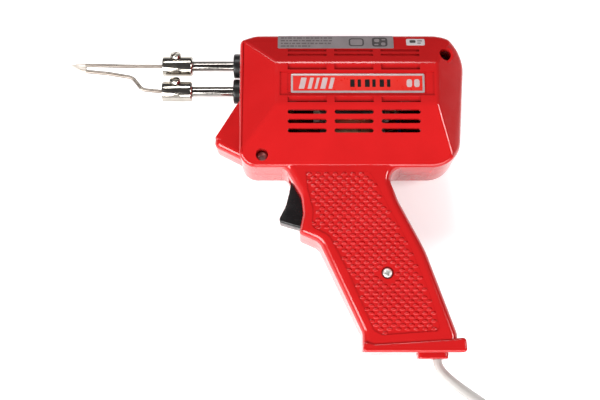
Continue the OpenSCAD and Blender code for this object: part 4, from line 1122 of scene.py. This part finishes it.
dress(mains_lead, grey_pvc, "gun", "power_cord", "cord_coil", "cord_tail", slot="lead_grey", smooth=40)


# the strap around the coil
def across_lead(name, corner, wide, long, high, r):
    """A block on the table, round-edged along Y, by its low corner in metres."""
    o = box(name, (0, 0, 0), (1, 1, 1))
    o.data.transform(TO_ORIGIN)
    o.data.transform(Matrix.Translation(corner) @ Matrix.Diagonal((wide, long, high, 1)))
    round_off(o, along_y, r, 5)
    return o


strap = across_lead("coil_strap", (0.0859, -0.1835, 0.0), 17.1, 11, 16.5, 2.6)
window = across_lead("window", (0.0868, -0.2, 0.0006), 15.3, 44, 14.9, 2.0)
carve(strap, window)
strap_black = finish("strap_black", (0.015, 0.015, 0.016), (0.03, 0.03, 0.03), (0.6, 0.8), 200, 2600, 0.12)
dress(strap, strap_black, "gun", "coil_tie", slot="black_plastic", smooth=35)

# the moulded plug with two round pins, half sleeved
PLUG_X, PLUG_Y, PLUG_H = 59.0, -222.0, 13.7


def on_table(x, y, z):
    """The gun's place that falls on a point of the table frame."""
    return (x - GUN.x, y - GUN.y, z - GUN.z)


px, py, pz = on_table(PLUG_X, PLUG_Y, 0)
PLUG = [[px, py - 17.65, 4], [px + 25, py - 17.65, 8], [px + 35, py - 7, 5], [px + 35, py + 7, 5],
        [px + 25, py + 17.65, 8], [px, py + 17.65, 4]]
rings = []
for k in range(6):
    t = math.pi / 2 * k / 5
    rings.append([1.8 * (1 - math.sin(t)), pz + 1.8 * (1 - math.cos(t))])
rings += [[r, pz * 2 + PLUG_H - h] for r, h in reversed(rings)]
plug = stack("moulded_plug", PLUG, rings, 12)
boot = turned("boot", [[4.9, 0], [5.0, 2]] + [[r, 2 + 1.3 * k + s] for k in range(7)
              for r, s in ((5.0 - 0.16 * k, 0.1), (5.0 - 0.16 * k, 0.75), (4.5 - 0.16 * k, 0.95),
                           (4.5 - 0.16 * k, 1.25))] + [[3.9, 12.0], [3.7, 14.0]],
              on_table(PLUG_X + 34, PLUG_Y, PLUG_H / 2), (1, 0, 0), 32)
carve(plug, boot, "UNION")
dress(plug, grey_pvc, "gun", "plug_body", slot="lead_grey", smooth=35)
pins, sleeves = [], []
for s in (-1, 1):
    at = on_table(PLUG_X, PLUG_Y + s * 9.3, PLUG_H / 2)
    pins.append(turned("pin", [[1.2, -19], [1.75, -18.6], [2.0, -17.8], [2.0, -10], [1.9, -10], [1.9, 0.5]],
                       at, (1, 0, 0), 32))
    sleeves.append(turned("sleeve", [[1.85, -10.1], [2.0, -10], [2.0, -0.4], [3.0, -0.1], [3.0, 0.4]],
                          at, (1, 0, 0), 32))
pins = joined(pins, "plug_pins_bright")
sleeves = joined(sleeves, "plug_pin_sleeves")
dress(pins, brass, "gun", "plug_pins", slot="brass", smooth=35)
dress(sleeves, black_plastic, "gun", slot="black_plastic", smooth=35)

low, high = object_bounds()
